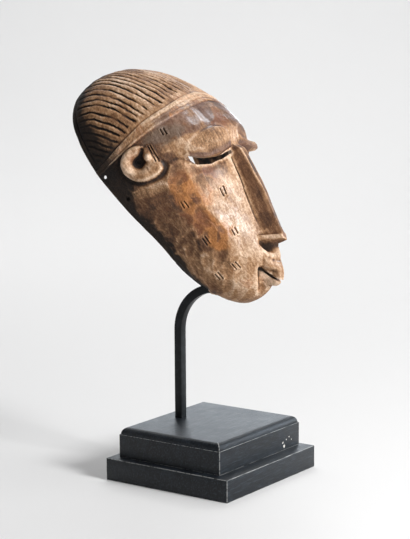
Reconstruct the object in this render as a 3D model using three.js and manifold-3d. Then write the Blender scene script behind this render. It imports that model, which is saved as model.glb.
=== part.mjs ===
// A carved wooden face mask, leaning back on a bent square bar that stands on a two-step plinth.
// Millimetres, +Z up. The face looks towards -Y and the plane X = 0 divides it into like halves.
// The origin is the centre of the plinth's underside.
import * as THREE from 'three';
import { mergeVertices } from 'three/addons/utils/BufferGeometryUtils.js';
import Module from 'manifold-3d';

const wasm = await Module();
wasm.setup();
const { clamp, degToRad, smoothstep } = THREE.MathUtils;

// Driving dimensions

const GAP = 0.3;

const LOWER_BOARD = { width: 183, depth: 169.4, height: 26 };
const UPPER_BLOCK = {
  width: 165.4, depth: 141.2, side: 26.8, shiftX: 2.3, shiftY: 3.4, ledge: 1.4, quarter: 7, steps: 5,
};
const BAR = { side: 10, footY: 44.5, socket: 25, bendRadius: 53.5, runZ: 220.5, bendSteps: 12 };
const PLATE = { thickness: 4, height: 50, inset: 0.6, steps: 18 };

// The mask lies in a frame of its own: "up" runs along the flat rim from the chin to the crown,
// "across" is the side to side direction and "out" is square to the rim, towards the face.
const RIM_BOTTOM = { y: -11, z: 214 };
const RIM_TILT = 55;

// How far the hollow is set in from the front and from the sides, by section.
const WALL_FRONT = [[0, 8], [1, 15], [2, 14], [4, 10], [14, 10], [15, 8]];
const WALL_SIDE = [[0, 7], [1, 9], [3, 8], [4, 7]];

// Sections of the mask fan out from a point on the rim line, from the chin round to the crown.
// origin: place of the fan point up the rim, fan: direction of the section's front in degrees,
// depth: fan point to the front, half: half width at the rim, front and side: lengths of the two
// curve handles as shares of the half width and the depth, drop: fall of the front handle, which
// makes a wedge of the section, flare: how far the side handle stands outside the rim.
const SECTIONS = [
  { origin: 38, fan: 180, depth: 38, half: 38, front: 0.32, drop: 8, side: 0.3, flare: -9 },
  { origin: 41, fan: 167, depth: 60.5, half: 40.5, front: 0.42, drop: 7, side: 0.36, flare: -4 },
  { origin: 45, fan: 155, depth: 82.5, half: 43.5, front: 0.55, drop: 8, side: 0.41, flare: -1 },
  { origin: 52, fan: 143, depth: 103.5, half: 47.5, front: 0.66, drop: 14, side: 0.46, flare: 0.5 },
  { origin: 60, fan: 133, depth: 115.5, half: 50.5, front: 0.7, drop: 24, side: 0.48, flare: 2 },
  { origin: 70, fan: 126, depth: 124.5, half: 54.5, front: 0.76, drop: 34, side: 0.5, flare: 3 },
  { origin: 84, fan: 119.5, depth: 123, half: 61, front: 0.8, drop: 40, side: 0.5, flare: 3 },
  { origin: 102, fan: 112, depth: 120.5, half: 71, front: 0.8, drop: 38, side: 0.52, flare: 3 },
  { origin: 120, fan: 104.5, depth: 119, half: 80.5, front: 0.76, drop: 26, side: 0.54, flare: 2 },
  { origin: 138, fan: 98, depth: 117.5, half: 87, front: 0.67, drop: 6, side: 0.56, flare: 1 },
  { origin: 155, fan: 93, depth: 125.7, half: 93, front: 0.6, drop: 0.5, side: 0.56, flare: 1 },
  { origin: 170, fan: 87, depth: 119.8, half: 97.5, front: 0.57, drop: 0, side: 0.56, flare: 1 },
  { origin: 185, fan: 78, depth: 107.5, half: 99.5, front: 0.56, drop: 0, side: 0.56, flare: 1 },
  { origin: 198, fan: 65.5, depth: 94.8, half: 100, front: 0.56, drop: 0, side: 0.56, flare: 0.5 },
  { origin: 208, fan: 49, depth: 84.9, half: 99.5, front: 0.56, drop: 0, side: 0.56, flare: 0 },
  { origin: 214, fan: 30, depth: 78.6, half: 98.5, front: 0.54, drop: 0, side: 0.54, flare: 0 },
  { origin: 218, fan: 13, depth: 73.3, half: 97.5, front: 0.52, drop: 0, side: 0.52, flare: 0 },
  { origin: 220, fan: 0, depth: 69, half: 97, front: 0.5, drop: 0, side: 0.5, flare: 0 },
];
const LAST = SECTIONS.length - 1;

// Carving. A place "at" is counted in sections, "across" and "up" are millimetres, and each table
// holds [place, value] pairs joined by straight lines.
const NOSE = { tip: 4.3, wing: 1.15, wingEnd: 15, under: 1.8, root: [118, 134], reach: 24, undercut: 4 };
const NOSE_RIDGE = [[-12, 114], [4.3, 115.8], [22, 117.2], [55, 122.9], [78, 124.8], [115, 125.4]];
const NOSE_HALF = [[-12, 1.5], [22, 1.6], [55, 2.2], [78, 4], [115, 4.6]];
const NOSE_SLOPE = [[-12, 1.9], [22, 1.9], [40, 1.6], [70, 1.5], [118, 1.5]];
const NOSTRIL = { across: 8.5, below: 7, radius: 6, depth: 6 };
const LID_EDGE = [[0, 127], [15, 126], [30, 125], [50, 124], [55, 128], [60, 134], [66, 137]];
const LID_BULGE = [[9, 0], [15, 1.7], [30, 4.7], [40, 8.4], [47, 12], [51, 12], [56, 8], [60, 4.6], [66, 0]];
const LID = { centre: 37, half: 25, rise: 31, rim: 1.2, fade: 3, step: 1.5 };
const SOCKET = { depth: 2.5, from: 14, to: 64, reach: 16 };
const SLIT_LOWER = [
  [0.07, 9.06], [0.11, 8.95], [0.2, 8.82], [0.24, 8.79], [0.28, 8.81], [0.34, 8.9], [0.37, 9.01],
  [0.39, 9.16], [0.41, 9.3],
];
const SLIT = { from: 0.07, to: 0.41, steps: 17, tuck: -0.06, outward: 20, inward: 24, spread: 1.3 };
const LIPS = {
  at: 3.72, half: 17, bend: 0.45, turn: 22, upper: [0.33, 0.38, 10.3], lower: [-0.24, 0.27, 7],
};
const EAR = { up: 154.5, out: 52, radius: 15, band: 7, height: 6.5, cup: 9, cupDepth: 3 };
const EAR_HOLE = { radius: 3.4, depth: 5 };
const BAND_FRONT = [[0, 11.48], [0.35, 11.3], [0.62, 11.2], [0.8, 11.05], [1, 10.9]];
const BAND_BACK = [[0, 11.97], [0.35, 11.72], [0.55, 11.68], [0.77, 11.45], [1, 11.2]];
const BAND_RAISE = 1.3;
const LOCKS = { count: 18, raise: 1, groove: 2.2, end: 16.2, edge: 4 };
const TYING_HOLES = [
  { sign: -1, up: 164, out: 7 }, { sign: -1, up: 130, out: 13 }, { sign: 1, up: 130, out: 13 },
];
const TYING_RADIUS = 2.2;

// Rows of the carved surface run between key curves, so that every edge of the carving has a row on
// each side of it. Columns stand closer together in the middle of the face than on the cap.
const COLUMNS = 72;
const FACE_CROWDING = 1.35;
const EDGE_WIDTH = 0.07;
const ROWS_BETWEEN = [6, 3, 3, 3, 8, 6, 1, 8, 2];
const CAVITY_COLUMNS = 20;
const CAVITY_ROWS = 16;

const WOOD = { color: 0x8a6a4c, roughness: 0.55, metalness: 0 };
const BLACK_STEEL = { color: 0x1c1e20, roughness: 0.4, metalness: 0.6 };
const BLACK_WOOD = { color: 0x17181a, roughness: 0.35, metalness: 0 };

// Curves

function steps([from, to, count]) {
  return Array.from({ length: count }, (_, i) => from + ((to - from) * i) / Math.max(count - 1, 1));
}

// Straight-line value of a short table of [x, y] pairs, held at its ends.
function along(table, x) {
  const first = table[0];
  const last = table[table.length - 1];
  if (x <= first[0]) return first[1];
  if (x >= last[0]) return last[1];
  const k = table.findIndex(([edge]) => edge >= x);
  const [x0, y0] = table[k - 1];
  const [x1, y1] = table[k];
  return y0 + ((y1 - y0) * (x - x0)) / (x1 - x0);
}

// Smooth curve through the values of one field of the sections.
function smoothField(sections, field, at) {
  const x = clamp(at, 0, LAST - 1e-9);
  const i = Math.floor(x);
  const f = x - i;
  const pick = (k) => {
    if (k < 0) return 2 * sections[0][field] - sections[1][field];
    if (k > LAST) return 2 * sections[LAST][field] - sections[LAST - 1][field];
    return sections[k][field];
  };
  const [a, b, c, d] = [pick(i - 1), pick(i), pick(i + 1), pick(i + 2)];
  return 0.5 * (2 * b + (c - a) * f + (2 * a - 5 * b + 4 * c - d) * f * f
    + (3 * b - a - 3 * c + d) * f * f * f);
}

// A point of the plain form: "at" counts sections and "side" runs from -1 to 1 across.
function plainPoint(sections, at, side) {
  const [origin, fan, depth, half, front, drop, sideHandle, flare] = [
    'origin', 'fan', 'depth', 'half', 'front', 'drop', 'side', 'flare',
  ].map((field) => smoothField(sections, field, at));
  const t = Math.abs(side);
  const nearFront = 3 * t * (1 - t) ** 2;
  const nearSide = 3 * t * t * (1 - t);
  const across = nearFront * front * half + nearSide * (half + flare) + t ** 3 * half;
  const reach = (1 - t) ** 3 * depth + nearFront * (depth - drop) + nearSide * sideHandle * depth;
  const angle = degToRad(fan);
  return {
    across: Math.sign(side) * across,
    up: origin + reach * Math.cos(angle),
    out: reach * Math.sin(angle),
    angle,
  };
}

function toVector({ across, up, out }) {
  return new THREE.Vector3(across, -out, up);
}

function plainNormal(at, side) {
  const step = 0.02;
  const a = toVector(plainPoint(SECTIONS, at - step, side));
  const b = toVector(plainPoint(SECTIONS, at + step, side));
  const c = toVector(plainPoint(SECTIONS, at, Math.max(side - step, -1)));
  const d = toVector(plainPoint(SECTIONS, at, Math.min(side + step, 1)));
  return d.sub(c).cross(b.sub(a)).normalize();
}

// Carved forms, each a height in millimetres

// The hooded lid stands out like an awning over the eye and ends in a sharp lower edge. Below the
// edge the surface is set back into a shallow socket.
function lidHeight(half, up) {
  const above = up - along(LID_EDGE, half);
  const rise = clamp(above / LID.rise, 0, 1);
  const x = Math.abs(half - LID.centre) / LID.half;
  const dome = clamp(1 - x ** 2.5 - rise ** 2.5, 0, 1);
  const lid = LID.rim * smoothstep(dome, 0, 0.1) + along(LID_BULGE, half) * (1 - rise) ** LID.fade;
  const inside = smoothstep(half, SOCKET.from, SOCKET.from + 7)
    * (1 - smoothstep(half, SOCKET.to - 12, SOCKET.to));
  const socket = SOCKET.depth * inside * smoothstep(above, -SOCKET.reach, -3);
  const edge = smoothstep(above, -LID.step, 0);
  return lid * edge - socket * (1 - edge);
}

// The long nose is a narrow roof that stands on the face and is cut off below in a slant.
function noseHeight(half, up, out) {
  if (half > NOSE.reach) return 0;
  const wall = along(NOSE_SLOPE, up) * Math.max(0, half - along(NOSE_HALF, up));
  const roof = along(NOSE_RIDGE, up) - wall;
  const bottom = noseBottom(half);
  const cut = smoothstep(up, bottom - NOSE.under, bottom);
  return Math.max(roof - out, 0) * cut * (1 - smoothstep(up, ...NOSE.root));
}

function noseBottom(half) {
  return NOSE.tip + NOSE.wing * Math.min(half, NOSE.wingEnd);
}

// Behind the tip the underside slopes up into the face.
function noseUndercut(half, up) {
  const below = noseBottom(half) - up;
  const width = Math.max(0, 1 - half / NOSE.wingEnd);
  return NOSE.undercut * width * smoothstep(below, 0, NOSE.under)
    * (1 - smoothstep(below, NOSE.under, NOSE.under + 8));
}

function nostrilDepth(half, up) {
  if (half > NOSE.reach) return 0;
  const x = (half - NOSTRIL.across) / NOSTRIL.radius;
  const y = (up - noseBottom(half) + NOSTRIL.below) / NOSTRIL.radius;
  return NOSTRIL.depth * Math.exp(-1.3 * (x * x + y * y));
}

function slitPlace(half) {
  return LIPS.at + LIPS.bend * (Math.min(half, LIPS.half) / LIPS.half) ** 2;
}

function lipWidth(half) {
  return Math.sqrt(Math.max(0, 1 - (half / LIPS.half) ** 2));
}

function lipHeight(at, half) {
  const lobe = ([centre, size, height]) => {
    const x = (at - slitPlace(half) - centre) / size;
    return height * Math.max(0, 1 - x * x) ** 0.6;
  };
  return lipWidth(half) * Math.max(lobe(LIPS.upper), lobe(LIPS.lower));
}

function bandHeight(at, side) {
  const front = along(BAND_FRONT, side);
  const back = along(BAND_BACK, side);
  return BAND_RAISE * smoothstep(at, front - EDGE_WIDTH, front)
    * (1 - smoothstep(at, back, back + EDGE_WIDTH));
}

// Combed locks: a ridge and a groove for every two columns, from the headband to the plain rim.
function lockHeight(at, side, out) {
  const start = along(BAND_BACK, side) + EDGE_WIDTH;
  const fade = smoothstep(at, start, start + 0.1) * (1 - smoothstep(at, LOCKS.end - 0.1, LOCKS.end))
    * smoothstep(out, LOCKS.edge, LOCKS.edge + 2);
  const wave = Math.abs(((side * LOCKS.count + 0.5) % 1) - 0.5) * 2;
  return fade * (LOCKS.raise - LOCKS.groove * wave);
}

function carvedPoint(at, side) {
  const p = plainPoint(SECTIONS, at, side);
  const half = Math.abs(p.across);
  const t = Math.abs(side);
  const face = at < 11.5 ? 1 - smoothstep(t, 0.56, 0.64) : 0;
  let out = p.out + face * lidHeight(half, p.up);
  out += face * (noseHeight(half, p.up, out) - nostrilDepth(half, p.up));
  const up = p.up + face * noseUndercut(half, p.up);
  const lips = lipHeight(at, half);
  const turned = p.angle + degToRad(LIPS.turn);
  const carved = toVector({
    across: p.across,
    up: up + lips * Math.cos(turned),
    out: out + lips * Math.sin(turned),
  });
  const raised = (bandHeight(at, t) + lockHeight(at, t, p.out)) * smoothstep(p.out, 0, 2);
  return carved.addScaledVector(plainNormal(at, side), raised);
}

// Rows and columns of the carved surface

// The place on one column where the plain form reaches the height that a rule gives for it.
function placeWhere(side, rule, from, to) {
  let [low, high] = [from, to];
  for (let k = 0; k < 30; k += 1) {
    const middle = (low + high) / 2;
    const p = plainPoint(SECTIONS, middle, side);
    if (p.up < rule(Math.abs(p.across))) low = middle;
    else high = middle;
  }
  return (low + high) / 2;
}

// The key curves of one column, from the chin rim to the crown rim.
function keyPlaces(side) {
  const t = Math.abs(side);
  const half = Math.abs(plainPoint(SECTIONS, LIPS.at, side).across);
  const toSide = smoothstep(t, 0.45, 0.65);
  const mix = (a, b) => a + (b - a) * toSide;
  const slit = slitPlace(half);
  const width = lipWidth(half) ** 2;
  const nose = mix(placeWhere(side, noseBottom, 4.8, 7), 6);
  const lid = mix(placeWhere(side, (x) => along(LID_EDGE, x), 8.4, 10), 9.4);
  const front = along(BAND_FRONT, t);
  const back = along(BAND_BACK, t);
  return [
    0, slit - 0.2 - 0.4 * width, slit, slit + 0.2 + 0.52 * width, nose - EDGE_WIDTH, lid - EDGE_WIDTH,
    front - EDGE_WIDTH, back, LOCKS.end, LAST,
  ];
}

function rowPlaces(side) {
  const keys = keyPlaces(side);
  const places = [];
  ROWS_BETWEEN.forEach((count, k) => {
    const stepped = k >= 4 && k <= 7;
    const from = stepped ? keys[k] + EDGE_WIDTH : keys[k];
    if (stepped) places.push(keys[k]);
    for (let i = 0; i < count; i += 1) places.push(from + ((keys[k + 1] - from) * i) / count);
  });
  places.push(LAST);
  return places;
}

function carvedRows() {
  const sides = steps([-1, 1, COLUMNS + 1]);
  const crowded = (side) => Math.sign(side) * Math.abs(side) ** FACE_CROWDING;
  const columns = sides.map((side) => rowPlaces(crowded(side)));
  return columns[0].map((_, r) => sides.map((side, c) => {
    const at = columns[c][r];
    const onCap = smoothstep(at, 10, 11.2);
    return carvedPoint(at, crowded(side) * (1 - onCap) + side * onCap);
  }));
}

// Solids

function solidOf(geometry) {
  geometry.deleteAttribute('normal');
  geometry.deleteAttribute('uv');
  const merged = mergeVertices(geometry, 1e-4);
  return new wasm.Manifold(new wasm.Mesh({
    numProp: 3,
    vertProperties: new Float32Array(merged.attributes.position.array),
    triVerts: new Uint32Array(merged.index.array),
  }));
}

function geometryOf(solid) {
  const { vertProperties, triVerts, numProp } = solid.getMesh();
  const geometry = new THREE.BufferGeometry();
  const points = [];
  for (let i = 0; i < vertProperties.length; i += numProp) {
    points.push(vertProperties[i], vertProperties[i + 1], vertProperties[i + 2]);
  }
  geometry.setAttribute('position', new THREE.Float32BufferAttribute(points, 3));
  geometry.setIndex(Array.from(triVerts));
  return geometry;
}

// A closed body from a sheet of rows whose rim lies in one plane: the pairs of rim points that
// face each other are joined by strips. A skirt carries the rim past the plane where it is asked.
function closedSheet(rows, skirt) {
  const sheet = rows.map((row) => row.slice());
  const width = sheet[0].length;
  const drop = (p) => p.clone().setY(skirt);
  if (skirt > 0) {
    sheet.forEach((row) => {
      row.unshift(drop(row[0]));
      row.push(drop(row[width - 1]));
    });
    sheet.unshift(sheet[0].map(drop));
    sheet.push(sheet[sheet.length - 1].map(drop));
  }
  const columns = sheet[0].length;
  const last = sheet.length - 1;
  const index = (r, c) => r * columns + c;
  const triangles = [];
  const quad = (a, b, c, d) => triangles.push(a, b, c, a, c, d);
  const middle = (columns - 1) / 2;
  for (let r = 0; r < last; r += 1) {
    for (let c = 0; c < columns - 1; c += 1) {
      const corners = [index(r, c), index(r, c + 1), index(r + 1, c + 1), index(r + 1, c)];
      if (c < middle) corners.unshift(corners.pop());
      quad(...corners);
    }
  }
  const pairs = [];
  for (let c = middle - 1; c >= 0; c -= 1) pairs.push([index(0, c), index(0, columns - 1 - c)]);
  for (let r = 1; r < last; r += 1) pairs.push([index(r, 0), index(r, columns - 1)]);
  for (let c = 0; c < middle; c += 1) pairs.push([index(last, c), index(last, columns - 1 - c)]);
  triangles.push(index(0, middle), pairs[0][0], pairs[0][1]);
  for (let k = 1; k < pairs.length; k += 1) {
    quad(pairs[k - 1][1], pairs[k - 1][0], pairs[k][0], pairs[k][1]);
  }
  const end = pairs[pairs.length - 1];
  triangles.push(end[1], end[0], index(last, middle));
  const geometry = new THREE.BufferGeometry();
  const points = sheet.flat().flatMap((p) => [p.x, p.y, p.z]);
  geometry.setAttribute('position', new THREE.Float32BufferAttribute(points, 3));
  geometry.setIndex(triangles);
  return solidOf(geometry);
}

function flatRim(rows) {
  const last = rows.length - 1;
  rows.forEach((row, r) => row.forEach((p, c) => {
    if (r === 0 || r === last || c === 0 || c === row.length - 1) p.setY(0);
  }));
  return rows;
}

// The hollow repeats the outside without its carving, set in by the wall. A wedge of a section is
// set in further at its ridge, to keep the wall along its slopes.
function maskCavity() {
  const inner = SECTIONS.map((section, k) => {
    const slope = section.drop / (section.front * section.half);
    return {
      ...section,
      depth: section.depth - along(WALL_FRONT, k) * Math.hypot(1, slope),
      half: section.half - along(WALL_SIDE, k),
      drop: section.drop * (1 - along(WALL_SIDE, k) / section.half),
    };
  });
  const sides = steps([-1, 1, CAVITY_COLUMNS + 1]);
  const rows = steps([0, LAST, CAVITY_ROWS + 1]).map(
    (at) => sides.map((side) => toVector(plainPoint(inner, at, side))),
  );
  return closedSheet(flatRim(rows), 6);
}

// The eye slit lies under the lid's edge. It is cut square to the surface and widens inwards.
function slitCutter(sign) {
  const upper = [];
  const lower = [];
  steps([SLIT.from, SLIT.to, SLIT.steps + 1]).forEach((t) => {
    const low = along(SLIT_LOWER, t);
    const high = placeWhere(t, (x) => along(LID_EDGE, x), 8.4, 10) - SLIT.tuck;
    upper.push([Math.max(high, low + 0.01), sign * t]);
    lower.push([low, sign * t]);
  });
  const outline = [...upper, ...lower.reverse()];
  const places = outline.map(([at, side]) => toVector(plainPoint(SECTIONS, at, side)));
  const normals = outline.map(([at, side]) => plainNormal(at, side));
  const centre = places.reduce((sum, p) => sum.add(p), new THREE.Vector3()).divideScalar(places.length);
  const front = places.map((p, k) => p.clone().addScaledVector(normals[k], SLIT.outward));
  const back = places.map((p, k) => p.clone().sub(centre).multiplyScalar(SLIT.spread).add(centre)
    .addScaledVector(normals[k], -SLIT.inward));
  const count = places.length;
  const triangles = [];
  for (let k = 0; k < count; k += 1) {
    const next = (k + 1) % count;
    triangles.push(k, next, count + next, k, count + next, count + k);
  }
  const half = count / 2;
  for (let k = 0; k < half - 1; k += 1) {
    const [a, b, c, d] = [k, k + 1, count - 2 - k, count - 1 - k];
    triangles.push(a, c, b, a, d, c, count + a, count + b, count + c, count + a, count + c, count + d);
  }
  const geometry = new THREE.BufferGeometry();
  const points = [...front, ...back].flatMap((p) => [p.x, p.y, p.z]);
  geometry.setAttribute('position', new THREE.Float32BufferAttribute(points, 3));
  geometry.setIndex(sign > 0 ? triangles : triangles.slice().reverse());
  return solidOf(geometry);
}

function tyingHole({ sign, up, out }) {
  const cutter = new THREE.CylinderGeometry(TYING_RADIUS, TYING_RADIUS, 60, 8);
  cutter.rotateZ(degToRad(90));
  cutter.translate(sign * 90, -out, up);
  return solidOf(cutter);
}

// The place on the side of the head where the ear sits, as its frame: x forward, y up, z outward.
function earFrame(sign) {
  let best = { at: 10, side: sign * 0.8, miss: Infinity };
  steps([8, 12, 81]).forEach((at) => steps([0.6, 1, 81]).forEach((t) => {
    const p = plainPoint(SECTIONS, at, sign * t);
    const miss = Math.hypot(p.up - EAR.up, p.out - EAR.out);
    if (miss < best.miss) best = { at, side: sign * t, miss };
  }));
  const z = plainNormal(best.at, best.side);
  const x = new THREE.Vector3(0, -1, 0).addScaledVector(z, z.y).normalize();
  const y = z.clone().cross(x);
  const frame = new THREE.Matrix4().makeBasis(x, y, z);
  return frame.setPosition(toVector(plainPoint(SECTIONS, best.at, best.side)));
}

// A low ring, open towards the cheek.
function earRing(sign) {
  const ring = new THREE.TorusGeometry(EAR.radius, EAR.band, 6, 22);
  const place = ring.attributes.position;
  for (let k = 0; k < place.count; k += 1) {
    const angle = Math.atan2(sign * place.getY(k), place.getX(k));
    const opening = Math.exp(-(((angle + 0.5) / 0.35) ** 2));
    place.setZ(k, (place.getZ(k) * EAR.height * (1 - 0.5 * opening)) / EAR.band);
  }
  ring.applyMatrix4(earFrame(sign));
  return solidOf(ring);
}

function earCup(sign) {
  const cup = new THREE.SphereGeometry(EAR.cup, 12, 8);
  cup.scale(1, 1, EAR.cupDepth / EAR.cup);
  cup.applyMatrix4(earFrame(sign));
  const hole = new THREE.CylinderGeometry(EAR_HOLE.radius, EAR_HOLE.radius * 0.7, 14, 10);
  hole.rotateX(degToRad(90));
  hole.translate(0, 0, 7 - EAR_HOLE.depth);
  hole.applyMatrix4(earFrame(sign));
  return solidOf(cup).add(solidOf(hole));
}

function maskGeometry() {
  let solid = closedSheet(flatRim(carvedRows()), 0);
  [-1, 1].forEach((sign) => {
    solid = solid.add(earRing(sign)).subtract(earCup(sign));
  });
  solid = solid.subtract(maskCavity());
  [-1, 1].forEach((sign) => {
    solid = solid.subtract(slitCutter(sign));
  });
  TYING_HOLES.forEach((hole) => {
    solid = solid.subtract(tyingHole(hole));
  });
  return geometryOf(solid);
}

// The plate follows the rim of the chin a little inside its edge.
function plateGeometry() {
  const rimAt = (side) => {
    const p = plainPoint(SECTIONS, 0, side);
    return new THREE.Vector2(p.across, p.up);
  };
  const outline = steps([-1, 1, PLATE.steps + 1]).map(rimAt);
  const corner = PLATE.height * 0.9;
  outline.unshift(new THREE.Vector2(-corner, PLATE.height));
  outline.push(new THREE.Vector2(corner, PLATE.height));
  const centre = new THREE.Vector2(0, PLATE.height);
  outline.forEach((p) => {
    const inward = centre.clone().sub(p).setLength(PLATE.inset);
    p.add(inward);
  });
  outline[0].y = PLATE.height;
  outline[outline.length - 1].y = PLATE.height;
  const plate = new THREE.ExtrudeGeometry(new THREE.Shape(outline), {
    depth: PLATE.thickness, bevelEnabled: false,
  });
  plate.rotateX(degToRad(90));
  plate.translate(0, PLATE.thickness + GAP, 0);
  return plate;
}

// Stand

const LOWER_TOP = LOWER_BOARD.height;
const BLOCK_FOOT = LOWER_TOP + GAP;
const BLOCK_TOP = BLOCK_FOOT + UPPER_BLOCK.side + UPPER_BLOCK.ledge * 0.8 + UPPER_BLOCK.quarter;

function box(width, depth, height, x, y, z) {
  const geometry = new THREE.BoxGeometry(width, depth, height);
  geometry.translate(x, y, z + height / 2);
  return geometry;
}

// Outline of one side of the block from its foot to its top: upright, a small ledge, then a
// hollowless quarter round. Each point is how far it stands in and how high it lies.
function blockProfile() {
  const { side, ledge, quarter, steps: count } = UPPER_BLOCK;
  const profile = [[0, 0], [0, side], [ledge, side + ledge * 0.8]];
  for (let k = 1; k <= count; k += 1) {
    const angle = (Math.PI / 2) * (k / count);
    profile.push([
      ledge + quarter * (1 - Math.cos(angle)),
      side + ledge * 0.8 + quarter * Math.sin(angle),
    ]);
  }
  return profile;
}

function blockGeometry() {
  const { width, depth, shiftX, shiftY } = UPPER_BLOCK;
  const rings = blockProfile().map(([inset, height]) => {
    const x = width / 2 - inset;
    const y = depth / 2 - inset;
    return [[-x, -y], [x, -y], [x, y], [-x, y]].map(
      ([px, py]) => new THREE.Vector3(px + shiftX, py + shiftY, BLOCK_FOOT + height),
    );
  });
  const triangles = [0, 2, 1, 0, 3, 2];
  for (let r = 0; r < rings.length - 1; r += 1) {
    for (let c = 0; c < 4; c += 1) {
      const a = r * 4 + c;
      const b = r * 4 + ((c + 1) % 4);
      triangles.push(a, b, b + 4, a, b + 4, a + 4);
    }
  }
  const top = (rings.length - 1) * 4;
  triangles.push(top, top + 1, top + 2, top, top + 2, top + 3);
  const geometry = new THREE.BufferGeometry();
  const points = rings.flat().flatMap((p) => [p.x, p.y, p.z]);
  geometry.setAttribute('position', new THREE.Float32BufferAttribute(points, 3));
  geometry.setIndex(triangles);
  const hole = BAR.side + 2 * GAP;
  const socket = box(hole, hole, BAR.socket + 5, 0, BAR.footY, BLOCK_TOP - BAR.socket - GAP);
  return geometryOf(solidOf(geometry).subtract(solidOf(socket)));
}

// The bar rises, turns forward in one bend and is cut off square to the rim, against the plate.
function barGeometry(maskMatrix) {
  const half = BAR.side / 2;
  const bendY = BAR.footY - BAR.bendRadius;
  const bendZ = BAR.runZ - BAR.bendRadius;
  const route = [new THREE.Vector3(0, BAR.footY, BLOCK_TOP - BAR.socket)];
  for (let k = 0; k <= BAR.bendSteps; k += 1) {
    const angle = (Math.PI / 2) * (k / BAR.bendSteps);
    route.push(new THREE.Vector3(
      0,
      bendY + BAR.bendRadius * Math.cos(angle),
      bendZ + BAR.bendRadius * Math.sin(angle),
    ));
  }
  route.push(new THREE.Vector3(0, bendY - 25, BAR.runZ));
  const points = [];
  route.forEach((p, k) => {
    const before = route[Math.max(k - 1, 0)];
    const after = route[Math.min(k + 1, route.length - 1)];
    const run = after.clone().sub(before).normalize();
    const outward = new THREE.Vector3(0, run.z, -run.y);
    [[-half, -half], [half, -half], [half, half], [-half, half]].forEach(([x, o]) => {
      const q = p.clone().addScaledVector(outward, o);
      points.push(x, q.y, q.z);
    });
  });
  const triangles = [];
  for (let r = 0; r < route.length - 1; r += 1) {
    for (let c = 0; c < 4; c += 1) {
      const a = r * 4 + c;
      const b = r * 4 + ((c + 1) % 4);
      triangles.push(a, b, b + 4, a, b + 4, a + 4);
    }
  }
  const end = (route.length - 1) * 4;
  triangles.push(0, 2, 1, 0, 3, 2, end, end + 1, end + 2, end, end + 2, end + 3);
  const geometry = new THREE.BufferGeometry();
  geometry.setAttribute('position', new THREE.Float32BufferAttribute(points, 3));
  geometry.setIndex(triangles);
  const clearSide = PLATE.thickness + 2 * GAP;
  const cutoff = new THREE.BoxGeometry(80, 120, 160);
  cutoff.translate(0, clearSide - 60, 20);
  cutoff.applyMatrix4(maskMatrix);
  return geometryOf(solidOf(geometry).subtract(solidOf(cutoff)));
}

// Assembly

function addMesh(parent, name, geometry, finish) {
  const mesh = new THREE.Mesh(geometry, new THREE.MeshStandardMaterial(finish));
  mesh.name = name;
  parent.add(mesh);
}

const part = new THREE.Group();
const leaning = new THREE.Group();
leaning.position.set(0, RIM_BOTTOM.y, RIM_BOTTOM.z);
leaning.rotation.x = degToRad(RIM_TILT - 90);
leaning.updateMatrix();
part.add(leaning);

addMesh(leaning, 'mask', maskGeometry(), WOOD);
addMesh(leaning, 'support_plate', plateGeometry(), BLACK_STEEL);
addMesh(part, 'support_bar', barGeometry(leaning.matrix), BLACK_STEEL);
addMesh(part, 'plinth_upper_block', blockGeometry(), BLACK_WOOD);
const { width: boardWidth, depth: boardDepth, height: boardHeight } = LOWER_BOARD;
addMesh(part, 'plinth_lower_board', box(boardWidth, boardDepth, boardHeight, 0, 0, 0), BLACK_WOOD);

export default part;
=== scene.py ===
"""A carved wooden face mask held on a bent square bar over a two-step plinth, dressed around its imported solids."""

import logging
import math
from collections.abc import Callable, Sequence
from dataclasses import dataclass, field
from enum import Enum

import bmesh
import bpy
import numpy as np
from mathutils import Matrix, Vector, kdtree

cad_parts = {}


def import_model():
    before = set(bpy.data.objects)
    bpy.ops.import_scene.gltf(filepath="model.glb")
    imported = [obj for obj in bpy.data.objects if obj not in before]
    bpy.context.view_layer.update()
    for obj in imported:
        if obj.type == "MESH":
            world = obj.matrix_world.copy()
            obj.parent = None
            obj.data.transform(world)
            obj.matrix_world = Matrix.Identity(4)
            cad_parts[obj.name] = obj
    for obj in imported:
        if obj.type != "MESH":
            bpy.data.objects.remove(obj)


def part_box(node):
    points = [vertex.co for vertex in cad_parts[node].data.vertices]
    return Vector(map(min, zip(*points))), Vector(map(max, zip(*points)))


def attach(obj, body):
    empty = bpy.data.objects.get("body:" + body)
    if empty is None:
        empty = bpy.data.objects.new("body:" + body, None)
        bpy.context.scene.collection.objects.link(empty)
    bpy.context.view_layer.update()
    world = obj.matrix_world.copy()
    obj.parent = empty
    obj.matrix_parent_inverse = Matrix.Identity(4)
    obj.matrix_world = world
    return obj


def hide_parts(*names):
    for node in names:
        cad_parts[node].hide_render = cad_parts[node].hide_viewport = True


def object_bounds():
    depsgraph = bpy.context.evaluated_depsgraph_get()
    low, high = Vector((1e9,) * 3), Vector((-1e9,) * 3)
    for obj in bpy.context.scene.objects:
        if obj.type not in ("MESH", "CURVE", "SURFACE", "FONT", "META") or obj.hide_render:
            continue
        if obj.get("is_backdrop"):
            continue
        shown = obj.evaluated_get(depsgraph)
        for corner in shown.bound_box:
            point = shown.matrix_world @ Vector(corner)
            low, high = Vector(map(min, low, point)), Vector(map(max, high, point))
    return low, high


LOG = logging.getLogger("mask_on_stand")
MM = 0.001

RIM_FOOT = (0.0, -11.0, 214.0)
RIM_TILT = math.radians(55)
RIM_OUT = Vector((0, -math.sin(RIM_TILT), math.cos(RIM_TILT)))

Array = np.ndarray
Pair = tuple[float, float]
Triple = tuple[float, float, float]
Four = tuple[float, float, float, float]
Colour = Four
Window = tuple[Pair, Pair]
Curve = tuple[Pair, ...]
Shares = tuple[tuple[str, float], ...]
Zones = dict[str, np.ndarray]
Object = bpy.types.Object
Material = bpy.types.Material
BMesh = bmesh.types.BMesh
BMVert = bmesh.types.BMVert
BMFace = bmesh.types.BMFace


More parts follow.
